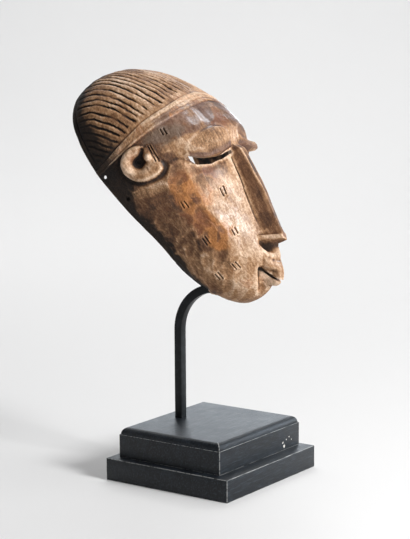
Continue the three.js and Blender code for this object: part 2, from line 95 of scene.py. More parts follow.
def ramp(x: Array, low: float, high: float) -> Array:
    """Smooth step from 0 at low to 1 at high."""
    u = np.clip((x - low) / (high - low), 0.0, 1.0)
    return u * u * (3.0 - 2.0 * u)


def between(x: Array, rise: Pair, fall: Pair) -> Array:
    """1 between two smooth steps, the first up and the second down."""
    return ramp(x, *rise) * (1 - ramp(x, *fall))


def along(table: Curve, x: Array) -> Array:
    """Straight-line value of a short table of (x, y) pairs, held at its ends."""
    return np.interp(x, [p[0] for p in table], [p[1] for p in table])


def bell(x: Array, centre: float, width: float) -> Array:
    """Bell curve of height 1."""
    return np.exp(-(((x - centre) / width) ** 2))


def srgb(red: int, green: int, blue: int) -> Colour:
    """Scene-linear colour of a display colour in steps of 0 to 255."""
    levels = (red / 255, green / 255, blue / 255)
    return (*(c / 12.92 if c < 0.04045 else ((c + 0.055) / 1.055) ** 2.4 for c in levels), 1.0)


def to_world(points: Array) -> Array:
    """Metres in the row frame.

    Args:
        points: Rows of (across, up the rim, out from the rim) in millimetres.

    Returns:
        The same points as rows of x, y and z.
    """
    cos, sin = math.cos(RIM_TILT), math.sin(RIM_TILT)
    x = points[..., 0] + RIM_FOOT[0]
    y = points[..., 1] * cos - points[..., 2] * sin + RIM_FOOT[1]
    z = points[..., 1] * sin + points[..., 2] * cos + RIM_FOOT[2]
    return np.stack([x, y, z], -1) * MM


class Noise:
    """Smooth value noise on a seeded lattice."""

    CELLS = 32
    LAYER_SHIFT = 17.3
    LAYER_SCALE = 1.6

    def __init__(self, seed: int) -> None:
        """Draws the lattice.

        Args:
            seed: Start of the random draw.
        """
        self.lattice = np.random.default_rng(seed).uniform(-1, 1, (self.CELLS,) * 3)

    def __call__(self, points: Array, feature: float | Triple) -> Array:
        """Noise from -1 to 1.

        Args:
            points: Rows of three coordinates.
            feature: Size of one lattice cell, or one size for each axis.

        Returns:
            One value for each row.
        """
        q = points / np.asarray(feature, float)
        low = np.floor(q).astype(int)
        f = q - low
        f = f * f * (3 - 2 * f)
        total = np.zeros(q.shape[:-1])
        for corner in np.ndindex(2, 2, 2):
            index = (low + corner) % self.CELLS
            weight = np.ones(q.shape[:-1])
            for axis, end in enumerate(corner):
                weight = weight * (f[..., axis] if end else 1 - f[..., axis])
            total += weight * self.lattice[index[..., 0], index[..., 1], index[..., 2]]
        return total

    def rough(self, points: Array, feature: float, octaves: int = 3) -> Array:
        """Several layers of the noise, each finer and weaker than the last.

        Args:
            points: Rows of three coordinates.
            feature: Size of the coarsest cell.
            octaves: How many layers.

        Returns:
            One value for each row, from about -1 to 1.
        """
        total = np.zeros(points.shape[:-1])
        for k in range(octaves):
            total += self(points + self.LAYER_SHIFT * k, feature / 2**k) / 2**k
        return total / self.LAYER_SCALE


@dataclass(frozen=True)
class Form:
    """The plain form of the mask: sections that fan out from points on the rim line.

    Each section is (origin, fan, depth, half, front, drop, side, flare), from the chin to the crown.
    """

    sections: tuple[tuple[float, ...], ...] = (
        (38, 180, 38, 38, 0.32, 8, 0.3, -9),
        (41, 167, 60.5, 40.5, 0.42, 7, 0.36, -4),
        (45, 155, 82.5, 43.5, 0.55, 8, 0.41, -1),
        (52, 143, 103.5, 47.5, 0.66, 14, 0.46, 0.5),
        (60, 133, 115.5, 50.5, 0.7, 24, 0.48, 2),
        (70, 126, 124.5, 54.5, 0.76, 34, 0.5, 3),
        (84, 119.5, 123, 61, 0.8, 40, 0.5, 3),
        (102, 112, 120.5, 71, 0.8, 38, 0.52, 3),
        (120, 104.5, 119, 80.5, 0.76, 26, 0.54, 2),
        (138, 98, 117.5, 87, 0.67, 6, 0.56, 1),
        (155, 93, 125.7, 93, 0.6, 0.5, 0.56, 1),
        (170, 87, 119.8, 97.5, 0.57, 0, 0.56, 1),
        (185, 78, 107.5, 99.5, 0.56, 0, 0.56, 1),
        (198, 65.5, 94.8, 100, 0.56, 0, 0.56, 0.5),
        (208, 49, 84.9, 99.5, 0.56, 0, 0.56, 0),
        (214, 30, 78.6, 98.5, 0.54, 0, 0.54, 0),
        (218, 13, 73.3, 97.5, 0.52, 0, 0.52, 0),
        (220, 0, 69, 97, 0.5, 0, 0.5, 0),
    )
    wall_front: Curve = ((0, 8), (1, 15), (2, 14), (4, 10), (14, 10), (15, 8))
    wall_side: Curve = ((0, 7), (1, 9), (3, 8), (4, 7))

    @property
    def last(self) -> int:
        """Place of the crown's section."""
        return len(self.sections) - 1

    def fields(self, at: Array) -> Array:
        """Smooth values of the eight section fields at each place.

        Args:
            at: Places in sections from the chin.

        Returns:
            Rows of the eight values.
        """
        table = np.array(self.sections, float)
        table = np.vstack([2 * table[0] - table[1], table, 2 * table[-1] - table[-2]])
        x = np.clip(at, 0, self.last - 1e-9)
        i = np.floor(x).astype(int)
        f = (x - i)[..., None]
        a, b, c, d = (table[i + k] for k in range(4))
        return 0.5 * (
            2 * b + (c - a) * f + (2 * a - 5 * b + 4 * c - d) * f**2 + (3 * b - a - 3 * c + d) * f**3
        )

    def place(self, at: Array, side: Array) -> tuple[Array, Array]:
        """Points of the plain form.

        Args:
            at: Places counted in sections from the chin.
            side: Shares of the way to the rim, from -1 to 1.

        Returns:
            Rows of (across, up, out), and the angle of the section at each.
        """
        at, side = np.broadcast_arrays(np.asarray(at, float), np.asarray(side, float))
        rows = self.fields(at)
        origin, fan, depth, half, front, drop, handle, flare = (rows[..., k] for k in range(8))
        t = np.abs(side)
        near_front = 3 * t * (1 - t) ** 2
        near_side = 3 * t * t * (1 - t)
        across = near_front * front * half + near_side * (half + flare) + t**3 * half
        reach = (1 - t) ** 3 * depth + near_front * (depth - drop) + near_side * handle * depth
        angle = np.radians(fan)
        up = origin + reach * np.cos(angle)
        return np.stack([np.sign(side) * across, up, reach * np.sin(angle)], -1), angle

    def normal(self, at: Array, side: Array) -> Array:
        """Outward directions, square to the plain form.

        Args:
            at: Places in sections from the chin.
            side: Shares across, from -1 to 1.

        Returns:
            Rows of unit vectors.
        """
        step = 0.02
        rise = self.place(at + step, side)[0] - self.place(at - step, side)[0]
        right = np.minimum(side + step, 1)
        left = np.maximum(side - step, -1)
        run = self.place(at, right)[0] - self.place(at, left)[0]
        n = np.cross(run, rise)
        return n / (np.linalg.norm(n, axis=-1, keepdims=True) + 1e-12)

    def hollow(self) -> "Form":
        """The same form set in by the wall.

        Returns:
            The form of the hollow.
        """
        inner = []
        for k, (origin, fan, depth, half, front, drop, side, flare) in enumerate(self.sections):
            in_front = float(along(self.wall_front, k)) * math.hypot(1, drop / (front * half))
            in_side = float(along(self.wall_side, k))
            shrunk = drop * (1 - in_side / half)
            inner.append((origin, fan, depth - in_front, half - in_side, front, shrunk, side, flare))
        return Form(sections=tuple(inner))


@dataclass(frozen=True)
class Face:
    """Lids, nose and lips. Heights are millimetres, and places are as in the plain form."""

    lid_edge: Curve = (
        (0, 128.5), (9, 128), (16, 126), (25, 123.5), (30, 122.5), (40, 122), (45, 122), (50, 123.5), (54, 125.5),
        (58, 129), (62, 134.5), (66, 138),
    )
    lid_bulge: Curve = (
        (9, 0), (14, 2.2), (20, 4.6), (30, 7.6), (40, 10.6), (47, 12.6), (51, 13), (56, 11), (61, 6), (66, 1.5),
        (70, 0),
    )
    lid_shape: Pair = (-0.25, 0.95)
    lid_centre: float = 34
    lid_half: float = 27
    lid_rise: float = 31
    lid_rim: float = 1.2
    lid_dome: float = 3.2
    lid_roll: Pair = (0.14, 5)
    lid_crease: float = 1.3
    lid_crease_at: Pair = (-0.06, 0.11)
    lid_crease_above: Pair = (2, 8)
    lid_outer: Pair = (34, 50)
    lid_under: float = 1.1
    lid_power: float = 2.2
    socket_depth: float = 2.5
    socket_across: Window = ((14, 21), (52, 64))
    socket_below: Pair = (-16, -3)
    nose_tip: float = 4.3
    nose_wing: float = 1.15
    nose_wing_end: float = 15
    nose_under: float = 1.8
    nose_undercut: float = 4
    nose_reach: float = 24
    nose_root: Pair = (118, 134)
    nose_ridge: Curve = ((-12, 114), (4.3, 115.8), (22, 117.2), (55, 122.9), (78, 124.8), (115, 125.4))
    nose_half: Curve = ((-12, 1.5), (22, 1.6), (55, 2.1), (78, 3.2), (115, 4))
    nose_slope: Curve = ((-12, 2.1), (60, 2.15), (85, 2.1), (118, 1.7))
    nose_flare: float = 3.2
    nose_flare_at: Pair = (1.5, 3.6)
    undercut_fade: float = 8
    nostril_across: float = 9
    nostril_below: float = 5.6
    nostril_radius: float = 5.6
    nostril_depth: float = 11
    nostril_fall: float = 1.3
    crease_depth: float = 1.0
    crease_at: Pair = (-0.9, 1.5)
    crease_up: Window = ((24, 50), (112, 124))
    crease_from: float = 6
    crease_beyond: float = 4
    lips_at: float = 3.72
    lips_half: float = 14.5
    lips_bend: float = 0.33
    lips_turn: float = math.radians(14)
    upper_lip: Four = (0.85, 10.6, 2, 0.8)
    lower_lip: Four = (0.42, 8.8, 2.3, 0.8)
    lower_lip_narrow: float = 1.5
    mouth_gap: Pair = (0.025, 0.085)
    cheek_edge: Curve = (
        (3.8, 0.39), (4.55, 0.43), (5.45, 0.38), (6.15, 0.32), (6.65, 0.34), (7.1, 0.38), (7.75, 0.4), (8.35, 0.42),
        (9.2, 0.44),
    )
    cheek_raise: float = 1.6
    recess: float = 4.8
    recess_edge: Curve = ((2.6, 7), (2.97, 11.2), (3.33, 14.4), (3.76, 17), (4.08, 17.9), (4.4, 17))
    recess_soft: float = 0.9
    recess_across: Pair = (4, 9)
    recess_along: Window = ((2.55, 3.15), (4.08, 4.34))

    def lid_spread(self, half: Array, up: Array) -> Array:
        """1 at the middle of the lid's edge and 0 on its border."""
        rise = np.clip((up - along(self.lid_edge, half)) / self.lid_rise, 0, 1)
        return 1 - (np.abs(half - self.lid_centre) / self.lid_half) ** self.lid_power - rise**self.lid_power

    def lid(self, half: Array, up: Array) -> Array:
        """Height of the hooded lid, and below its edge the depth of the socket.

        Args:
            half: Distances from the middle.
            up: Distances up the rim.

        Returns:
            Heights, below 0 in the socket.
        """
        above = up - along(self.lid_edge, half)
        rise = np.clip(above / self.lid_rise, 0, 1)
        spread = self.lid_spread(half, up)
        dome = np.clip(spread, 0, 1)
        inner = 1 - ramp(half, *self.lid_outer)
        awning = (1 - ramp(rise, *self.lid_shape)) / (1 - ramp(0.0, *self.lid_shape))
        lid = along(self.lid_bulge, half) * awning
        lid = lid + inner * (self.lid_rim * ramp(dome, 0, 0.1) + self.lid_dome * (1 - (1 - dome) ** 2))
        roll, reach = self.lid_roll
        lid = lid * (1 - roll * np.clip(1 - above / reach, 0, 1) ** 2)
        crease = self.lid_crease * bell(spread, *self.lid_crease_at) * ramp(above, *self.lid_crease_above) * inner
        socket = self.socket_depth * between(half, *self.socket_across) * ramp(above, *self.socket_below)
        edge = ramp(above, -self.lid_under, 0)
        return (lid - crease) * edge - socket * (1 - edge)

    def nose_bottom(self, half: Array) -> Array:
        """Place up the rim of the nose's lower edge."""
        return self.nose_tip + self.nose_wing * np.minimum(half, self.nose_wing_end)

    def nose(self, half: Array, up: Array, out: Array) -> tuple[Array, Array]:
        """Height of the long nose over the face, and the depth of the cut that runs beside it.

        Args:
            half: Distances from the middle.
            up: Distances up the rim.
            out: Distances out from the rim.

        Returns:
            The two, the second as a depth.
        """
        bottom = self.nose_bottom(half)
        lift, reach = self.nose_flare_at
        flare = self.nose_flare * bell(up, bottom + lift, reach)
        wall = along(self.nose_slope, up) * np.maximum(0, half - along(self.nose_half, up) - flare)
        roof = along(self.nose_ridge, up) - wall - out
        root = 1 - ramp(up, *self.nose_root)
        near = half < self.nose_reach
        height = np.maximum(roof, 0) * ramp(up, bottom - self.nose_under, bottom) * root * near
        crease = self.crease_depth * bell(roof, *self.crease_at) * between(up, *self.crease_up)
        return height, crease * (half > self.crease_from) * (half < self.nose_reach + self.crease_beyond)

    def undercut(self, half: Array, up: Array) -> Array:
        """How far the underside of the nose slopes up into the face.

        Args:
            half: Distances from the middle.
            up: Distances up the rim.

        Returns:
            Millimetres up the rim.
        """
        below = self.nose_bottom(half) - up
        width = np.maximum(0, 1 - half / self.nose_wing_end)
        fade = (self.nose_under, self.nose_under + self.undercut_fade)
        return self.nose_undercut * width * between(below, (0, self.nose_under), fade)

    def nostril(self, half: Array, up: Array) -> Array:
        """Depth of the two nostrils.

        Args:
            half: Distances from the middle.
            up: Distances up the rim.

        Returns:
            Depths.
        """
        x = (half - self.nostril_across) / self.nostril_radius
        y = (up - self.nose_bottom(half) + self.nostril_below) / self.nostril_radius
        return self.nostril_depth * np.exp(-self.nostril_fall * (x * x + y * y)) * (half < self.nose_reach)

    def mouth(self, half: Array) -> Array:
        """Place of the line between the lips."""
        return self.lips_at + self.lips_bend * (np.minimum(half, self.lips_half) / self.lips_half) ** 2

    def lip_width(self, half: Array) -> Array:
        """Share of the lips' height that is left towards the corners."""
        return np.sqrt(np.maximum(0, 1 - (half / self.lips_half) ** 2))

    def lips(self, at: Array, half: Array) -> Array:
        """Height of the two lips, each fullest next to the line between them.

        Args:
            at: Places in sections from the chin.
            half: Distances from the middle.

        Returns:
            Heights.
        """
        over = at - self.mouth(half)
        width = self.lip_width(half)
        lobes = []
        for side, wide, (reach, full, fullness, power) in (
            (over > 0, width, self.upper_lip), (over <= 0, width**self.lower_lip_narrow, self.lower_lip),
        ):
            lobes.append(side * wide * full * np.maximum(0, 1 - (np.abs(over) / reach) ** fullness) ** power)
        return sum(lobes) * ramp(np.abs(over), *self.mouth_gap)

    def beside_lips(self, at: Array, half: Array) -> Array:
        """Depth of the recess that the lips stand in, on either side of them.

        Args:
            at: Places in sections from the chin.
            half: Distances from the middle.

        Returns:
            Depths.
        """
        edge = along(self.recess_edge, at)
        across = between(half, self.recess_across, (edge - self.recess_soft, edge + self.recess_soft))
        return self.recess * across * between(at, *self.recess_along)


@dataclass(frozen=True)
class Hair:
    """The headband and the combed locks of the cap."""

    band_front: Curve = ((0, 11.48), (0.35, 11.3), (0.62, 11.2), (0.8, 11.05), (1, 10.9))
    band_back: Curve = ((0, 11.97), (0.35, 11.72), (0.55, 11.68), (0.77, 11.45), (1, 11.2))
    band_raise: float = 1.3
    edge: float = 0.06
    locks: int = 21
    drift: Pair = (0.3, 0.11)
    waver: Triple = (0.24, 0.13, 0.06)
    stray: float = 0.16
    groove: float = 2.0
    cut_half: float = 0.2
    swell: float = 0.55
    end: float = 16.2
    rim_groove: float = 1.2
    rim_groove_at: Pair = (7.2, 1.2)
    rim_groove_along: Window = ((11.4, 12.2), (16.2, 16.8))
    seed: int = 5

    def band(self, at: Array, t: Array) -> Array:
        """Height of the headband with its two cut lines.

        Args:
            at: Places in sections from the chin.
            t: Shares across without their sign.

        Returns:
            Heights.
        """
        front, back = along(self.band_front, t), along(self.band_back, t)
        share = (at - front) / (back - front)
        raised = between(at, (front - self.edge, front), (back, back + self.edge))
        lip = 0.6 * bell(share, 0.06, 0.09) * ramp(t, 0.45, 0.7)
        lines = (0.8 * bell(share, 0.3, 0.07) + 0.7 * bell(share, 0.62, 0.07)) * (1 - ramp(t, 0.4, 0.62))
        return raised * (self.band_raise + lip - lines)

    def combed(self, at: Array, side: Array, out: Array, points: Array) -> tuple[Array, Array]:
        """Ridges and grooves of the locks.

        Args:
            at: Places in sections.
            side: Shares across.
            out: Distances from the rim's plane.
            points: The plain points, for the hand's unsteadiness.

        Returns:
            The height, and how deep in a groove each point lies from 0 to 1.
        """
        t = np.abs(side)
        draw = np.random.default_rng(self.seed)
        count = 2 * self.locks + 1
        shift, start, stop, deep = (draw.uniform(-1, 1, count) for _ in range(4))
        waver = Noise(self.seed + 1)
        broad, middling, small = self.waver
        still, rate = self.drift
        spread = np.maximum(0, t - still)
        lane = np.sign(side) * (t - spread + spread * np.exp(-rate * (at - 12)))
        x = lane * self.locks + broad * waver(points, (14, 45, 45))
        x = x + middling * waver(points + 50, 11) + small * waver(points + 70, 4)
        k = np.clip(np.round(x).astype(int) + self.locks, 0, count - 1)
        away = np.abs(x - self.stray * shift[k] - (k - self.locks))
        band_back = along(self.band_back, t)
        begins = band_back + self.edge + 0.10 + 0.14 * (start[k] + 1) / 2
        ends = self.end - 0.15 - 0.45 * (stop[k] + 1) / 2
        off_rim = ramp(out, 8, 12)
        inside = between(at, (begins, begins + 0.16), (ends - 0.25, ends)) * off_rim
        broken = np.clip(0.75 + 0.9 * waver(points + 90, (6, 16, 16)) + 0.3 * waver(points + 30, 7), 0, 1.25)
        depth = self.groove * (0.78 + 0.22 * deep[k])
        cut = np.maximum(0, 1 - (away / self.cut_half) ** 1.4) * inside * broken
        zone = between(at, (band_back, band_back + 0.3), (self.end - 0.2, self.end + 0.1)) * off_rim
        lift = self.swell * (1 - (2 * np.clip(away, 0, 0.5) - 1) ** 2) * zone
        return lift - depth * cut, cut

    def rim_line(self, at: Array, out: Array) -> Array:
        """Depth of the groove that runs along the back of the cap, just over the rim."""
        return self.rim_groove * bell(out, *self.rim_groove_at) * between(at, *self.rim_groove_along)


@dataclass(frozen=True)
class Ear:
    """A low dished ring on the side of the head, open towards the cheek."""

    up: float = 154.5
    out: float = 52
    outline: Curve = (
        (-180, 22.5), (-120, 22), (-90, 23), (-65, 26.5), (-48, 28.5), (-32, 24), (-15, 19), (0, 17.5), (30, 17),
        (60, 19), (90, 19.5), (120, 21), (150, 22.5), (180, 22.5),
    )
    crest: Curve = (
        (-180, 7.2), (-90, 7.2), (-60, 6.6), (-45, 5), (-28, 2.2), (-12, 1.2), (10, 1.2), (35, 2), (60, 3.6), (90, 5.2),
        (120, 6.6), (180, 7.2),
    )
    crest_share: float = 0.72
    bowl_floor: float = -2.6
    deepest: float = -3.3
    bowl_middle: Pair = (-1.2, 0.5)
    bowl_radius: float = 4.8
    knob: Four = (12, -1.2, 4.4, 6.0)
    slot: Window = ((1.0, 2.0), (10.0, 9.6))
    slot_cut: Pair = (2.5, 5.0)
    trench: float = 1.6
    trench_at: Pair = (3.2, 2.4)
    hole_at: Triple = (-1.6, 0.8, 2.8)
    hole_radius: Pair = (3.9, 2.6)
    hole_length: float = 14
    hole_stretch: float = 1.15
    pit_reach: float = 12

    def frame(self, form: Form, sign: int) -> tuple[Array, Array]:
        """Middle of the ear on the plain form, and its axes as rows: forward, up and outward.

        Args:
            form: The plain form.
            sign: -1 for the near side, 1 for the far one.

        Returns:
            The middle, and the axes as rows.
        """
        at, t = np.meshgrid(np.linspace(8, 12, 161), np.linspace(0.6, 1, 161), indexing="ij")
        points = form.place(at, sign * t)[0]
        miss = np.hypot(points[..., 1] - self.up, points[..., 2] - self.out)
        best = np.unravel_index(np.argmin(miss), miss.shape)
        outward = form.normal(at[best], np.array(sign * t[best]))
        forward = np.array([0, 0, 1.0]) - outward * outward[2]
        forward /= np.linalg.norm(forward)
        upward = -sign * np.cross(outward, forward)
        return points[best], np.stack([forward, upward, outward])

    def relief(self, x: Array, y: Array) -> Array:
        """Height of the ear's surface.

        Args:
            x: Distance forward of the ear's middle.
            y: Distance above it.

        Returns:
            Millimetres over the head.
        """
        r = np.hypot(x, y)
        angle = np.degrees(np.arctan2(y, x))
        radius, height = along(self.outline, angle), along(self.crest, angle)
        top = self.crest_share * radius
        within = np.hypot(x - self.bowl_middle[0], y - self.bowl_middle[1])
        rise = np.clip((within - self.bowl_radius) / (top - 1.5 - self.bowl_radius), 0, 1)
        bowl = self.bowl_floor + (height - self.bowl_floor) * np.sin(rise * math.pi / 2) ** 0.9
        beyond = np.clip((r - top) / (radius - top), 0, 1)
        ring = bowl * np.sqrt(np.maximum(0, 1 - beyond**3.2))
        kx, ky, kr, kh = self.knob
        knob = kh * np.exp(-(((x - kx) ** 2 + (y - ky) ** 2) / kr**2) ** 1.4)
        a, b = np.array(self.slot)
        share = np.clip(((x - a[0]) * (b - a)[0] + (y - a[1]) * (b - a)[1]) / ((b - a) @ (b - a)), 0, 1)
        off = np.hypot(x - a[0] - share * (b - a)[0], y - a[1] - share * (b - a)[1])
        slot = self.slot_cut[1] * np.exp(-((off / self.slot_cut[0]) ** 2))
        around = self.trench * bell(r - radius, *self.trench_at) * (height / self.crest[0][1]) ** 2
        return np.maximum(ring + knob - slot - around, self.deepest)


@dataclass(frozen=True)
class Cuts:
    """Short paired scars, each two cuts along the face. A place is (at, side, length)."""

    places: tuple[Triple, ...] = (
        (10.83, 0.488, 8), (7.66, 0.212, 9), (7.49, 0.553, 8), (6.09, 0.266, 7), (5.71, 0.558, 9),
        (4.22, 0.39, 8), (3.32, 0.556, 8),
    )
    long_cut: Four = (10.61, 0.624, 9.71, 0.63)
    apart: float = 2.0
    width: float = 1.0
    depth: float = 1.4
    lip: float = 0.45
    off_line: float = 0.8
    off_start: float = 2.4
    off_true: float = 0.6
    off_length: float = 0.3
    seed: int = 21

    def pair(self, draw: np.random.Generator, middle: Array, run: Array, across: Array, half: float) -> Array:
        """Two cuts side by side, each a little off true.

        Args:
            draw: The random draw.
            middle: Middle of the pair.
            run: Direction of the cuts.
            across: Direction from one cut to the other.
            half: Half the length of a cut.

        Returns:
            Two rows, each the start and the end of a cut.
        """
        ends = []
        for shift in (-self.apart, self.apart):
            wander = draw.uniform(-0.5, 0.5, 4)
            centre = middle + across * (shift + wander[0] * self.off_line) + run * wander[1] * self.off_start
            lean = across * wander[2] * self.off_true
            longer = 1 + self.off_length * wander[3]
            ends.append((centre - run * half * longer - lean, centre + run * half + lean))
        return np.array(ends)

    def segments(self, form: Form) -> Array:
        """Ends of every cut on the plain form.

        Args:
            form: The plain form.

        Returns:
            One row for each cut, of its start and its end.
        """
        draw = np.random.default_rng(self.seed)
        cuts = []
        for sign in (-1, 1):
            for at, t, length in self.places:
                jitter = draw.uniform(-0.5, 0.5, 3) if sign > 0 else np.zeros(3)
                at_here, side = at + 0.12 * jitter[0], sign * (t + 0.02 * jitter[1])
                middle = form.place(at_here, side)[0]
                square = form.normal(np.array(at_here), np.array(side))
                run = np.array([0.16 * jitter[2], 1.0, 0])
                run = run - square * (run @ square)
                run /= np.linalg.norm(run)
                cuts.append(self.pair(draw, middle, run, np.cross(square, run), length / 2))
            a = form.place(self.long_cut[0], sign * self.long_cut[1])[0]
            b = form.place(self.long_cut[2], sign * self.long_cut[3])[0]
            run = (b - a) / np.linalg.norm(b - a)
            middle_at = (self.long_cut[0] + self.long_cut[2]) / 2
            n = form.normal(np.array(middle_at), np.array(sign * self.long_cut[1]))
            long_half = float(np.linalg.norm(b - a)) / 2
            cuts.append(self.pair(draw, (a + b) / 2, run, np.cross(n, run) * 0.8, long_half))
        return np.concatenate(cuts)

    def away(self, form: Form, points: Array) -> Array:
        """Distance from each plain point to the nearest cut.

        Args:
            form: The plain form.
            points: Points of the plain form.

        Returns:
            Millimetres.
        """
        nearest = np.full(len(points), np.inf)
        for a, b in self.segments(form):
            run = b - a
            share = np.clip(((points - a) @ run) / (run @ run), 0, 1)
            nearest = np.minimum(nearest, np.linalg.norm(points - a - share[:, None] * run, axis=1))
        return nearest


@dataclass(frozen=True)
class ToolMarks:
    """Shallow scoops that the blade left: every scoop is a bowl, and the lowest bowl wins."""

    along_face: float = 15
    across_face: float = 11
    bowl: float = 0.012
    tilt: float = 0.12
    depth: float = 0.35
    lean: float = 0.0
    seed: int = 11

    def scoops(self, points: Array) -> tuple[Array, Array]:
        """Scoops at each point.

        Args:
            points: Rows of (across, up, out) on the plain form.

        Returns:
            The height over the plain form, with a mean near 0, and a random share from 0 to 1 for each scoop.
        """
        up = points[:, 1]
        turn = np.degrees(np.arctan2(points[:, 0], points[:, 2] + 8)) * 1.55
        size = np.array([self.along_face, self.across_face])
        cos, sin = math.cos(self.lean), math.sin(self.lean)
        place = np.stack([up * cos + turn * sin, turn * cos - up * sin], -1) / size
        cell = np.floor(place).astype(int)
        table = np.random.default_rng(self.seed).uniform(-1, 1, (64, 64, 6))
        best, tone = np.full(len(points), np.inf), np.zeros(len(points))
        for step in np.ndindex(5, 5):
            here = cell + np.array(step) - 2
            drawn = table[here[:, 0] % 64, here[:, 1] % 64]
            away = (place - here - 0.5 - 0.45 * drawn[:, :2]) * size
            bowl = self.bowl * (away[:, 0] ** 2 * 0.55 + away[:, 1] ** 2)
            surface = bowl + self.tilt * (away * drawn[:, 2:4]).sum(-1) + self.depth * drawn[:, 4]
            tone = np.where(surface < best, 0.5 + 0.5 * drawn[:, 5], tone)
            best = np.minimum(best, surface)
        return best - best.mean(), tone


@dataclass
class Sheet:
    """Places of the vertices of the mask's outer surface, row by row from the chin to the crown."""

    form: Form
    face: Face
    hair: Hair
    half_columns: int = 150
    counts: tuple[int, ...] = (30, 12, 7, 15, 8, 62, 46, 12, 60, 8)
    stepped: tuple[int, ...] = (5, 6, 7, 8)
    crown_crowd: float = 1.3

    def __post_init__(self) -> None:
        """Lays out the columns, and then the rows."""
        self.sides = self.columns()
        self.places = self.rows()

    def columns(self) -> Array:
        """Shares across for all columns, closer together at the nose and at the ears.

        Returns:
            The shares, from -1 to 1.
        """
        t = np.linspace(0, 1, 2001)
        line = self.form.place(9.0, t)[0]
        run = np.concatenate([[0], np.linalg.norm(np.diff(line, axis=0), axis=1)])
        dense = 1 + 0.6 * (1 - ramp(t, 0.1, 0.3)) + 0.5 * between(t, (0.66, 0.72), (0.9, 0.95))
        length = np.cumsum(run * dense)
        half = np.interp(np.linspace(0, length[-1], self.half_columns + 1), length, t)
        half[0], half[-1] = 0, 1
        return np.concatenate([-half[:0:-1], half])

    def where(self, t: Array, rule: Callable[[Array], Array], low: float, high: float) -> Array:
        """Place on each column where the plain form reaches the height that a rule gives.

        Args:
            t: Shares across without their sign.
            rule: Gives the height up the rim from the distance from the middle.
            low: Lowest place looked at.
            high: Highest place looked at.

        Returns:
            Places in sections.
        """
        a, b = np.full(t.shape, low), np.full(t.shape, high)
        for _ in range(30):
            middle = (a + b) / 2
            p = self.form.place(middle, t)[0]
            under = p[..., 1] < rule(np.abs(p[..., 0]))
            a, b = np.where(under, middle, a), np.where(under, b, middle)
        return (a + b) / 2

    def rows(self) -> Array:
        """Places in sections, with one row for each row of vertices and one column for each side.

        Returns:
            The places.
        """
        t = np.abs(self.sides)
        half = np.abs(self.form.place(self.face.lips_at, self.sides)[0][..., 0])
        toward = ramp(t, 0.45, 0.65)
        slit = self.face.mouth(half)
        width = np.maximum(0, 1 - (half / self.face.lips_half) ** 2)
        edge = self.hair.edge
        nose = self.where(t, self.face.nose_bottom, 4.8, 7) * (1 - toward) + 6 * toward
        lid = self.where(t, lambda x: along(self.face.lid_edge, x), 8.4, 10) * (1 - toward) + 9.4 * toward
        keys = [
            0 * t, slit - 0.2 - 0.45 * width, slit - 0.09, slit + 0.09, slit + 0.3 + 0.55 * width, nose - edge,
            lid - edge,
            along(self.hair.band_front, t) - edge, along(self.hair.band_back, t), self.hair.end + 0 * t,
            self.form.last + 0 * t,
        ]
        places = []
        for k, count in enumerate(self.counts):
            start = keys[k]
            if k in self.stepped:
                places += [keys[k], keys[k] + edge / 2]
                start = keys[k] + edge
            shares = np.arange(count) / count
            if k == len(self.counts) - 1:
                shares = 1 - (1 - shares) ** self.crown_crowd
            places += [start + (keys[k + 1] - start) * s for s in shares]
        places.append(keys[-1])
        return np.array(places)


def mesh_object(name: str, bm: BMesh) -> Object:
    """Linked object from a bmesh, which is freed.

    Args:
        name: Name of the object and its mesh.
        bm: The bmesh.

    Returns:
        The object.
    """
    mesh = bpy.data.meshes.new(name)
    bm.to_mesh(mesh)
    bm.free()
    piece = bpy.data.objects.new(name, mesh)
    bpy.context.scene.collection.objects.link(piece)
    return piece


def get_points(piece: Object) -> Array:
    """Rows of vertex places.

    Args:
        piece: The piece.

    Returns:
        Rows of x, y and z in metres.
    """
    co = np.zeros(len(piece.data.vertices) * 3, np.float32)
    piece.data.vertices.foreach_get("co", co)
    return co.reshape(-1, 3).astype(float)


def cut_out(piece: Object, tool: Object) -> None:
    """Cuts the tool out of the piece and removes the tool.

    Args:
        piece: The piece, whose mesh is replaced.
        tool: A closed body.
    """
    modifier = piece.modifiers.new("cut_out", "BOOLEAN")
    modifier.operation = "DIFFERENCE"
    modifier.solver = "MANIFOLD"
    modifier.object = tool
    bpy.context.view_layer.update()
    done = bpy.data.meshes.new_from_object(piece.evaluated_get(bpy.context.evaluated_depsgraph_get()))
    piece.modifiers.clear()
    old = piece.data
    piece.data = done
    bpy.data.meshes.remove(old)
    bpy.data.objects.remove(tool)


def close(bm: BMesh) -> None:
    """Fills an open border with one face and turns all faces outward.

    Args:
        bm: The bmesh to change.
    """
    border = [e for e in bm.edges if e.is_boundary]
    if border:
        bmesh.ops.edgeloop_fill(bm, edges=border)
    bmesh.ops.recalc_face_normals(bm, faces=bm.faces[:])


def of_kind(made: dict, kind: type) -> list:
    """The vertices, edges or faces that an extrusion made."""
    return [part for part in made["geom"] if isinstance(part, kind)]


def round_off(bm: BMesh, parts: list, width: float, segments: int = 3, affect: str = "EDGES") -> None:
    """Rounds edges or vertices with a bevel of a width in millimetres."""
    bmesh.ops.bevel(bm, geom=parts, offset=width * MM, segments=segments, profile=0.5, affect=affect, material=-1)


def nearest(points: Sequence) -> kdtree.KDTree:
    """Search tree of points.

    Args:
        points: The points, in the order of the numbers that a search gives.

    Returns:
        The tree.
    """
    tree = kdtree.KDTree(len(points))
    for k, point in enumerate(points):
        tree.insert(point, k)
    tree.balance()
    return tree


def smooth(piece: Object, angle: float) -> None:
    """Smooth shading with edges sharper than the angle kept crisp."""
    piece.data.polygons.foreach_set("use_smooth", [True] * len(piece.data.polygons))
    piece.data.set_sharp_from_angle(angle=math.radians(angle))


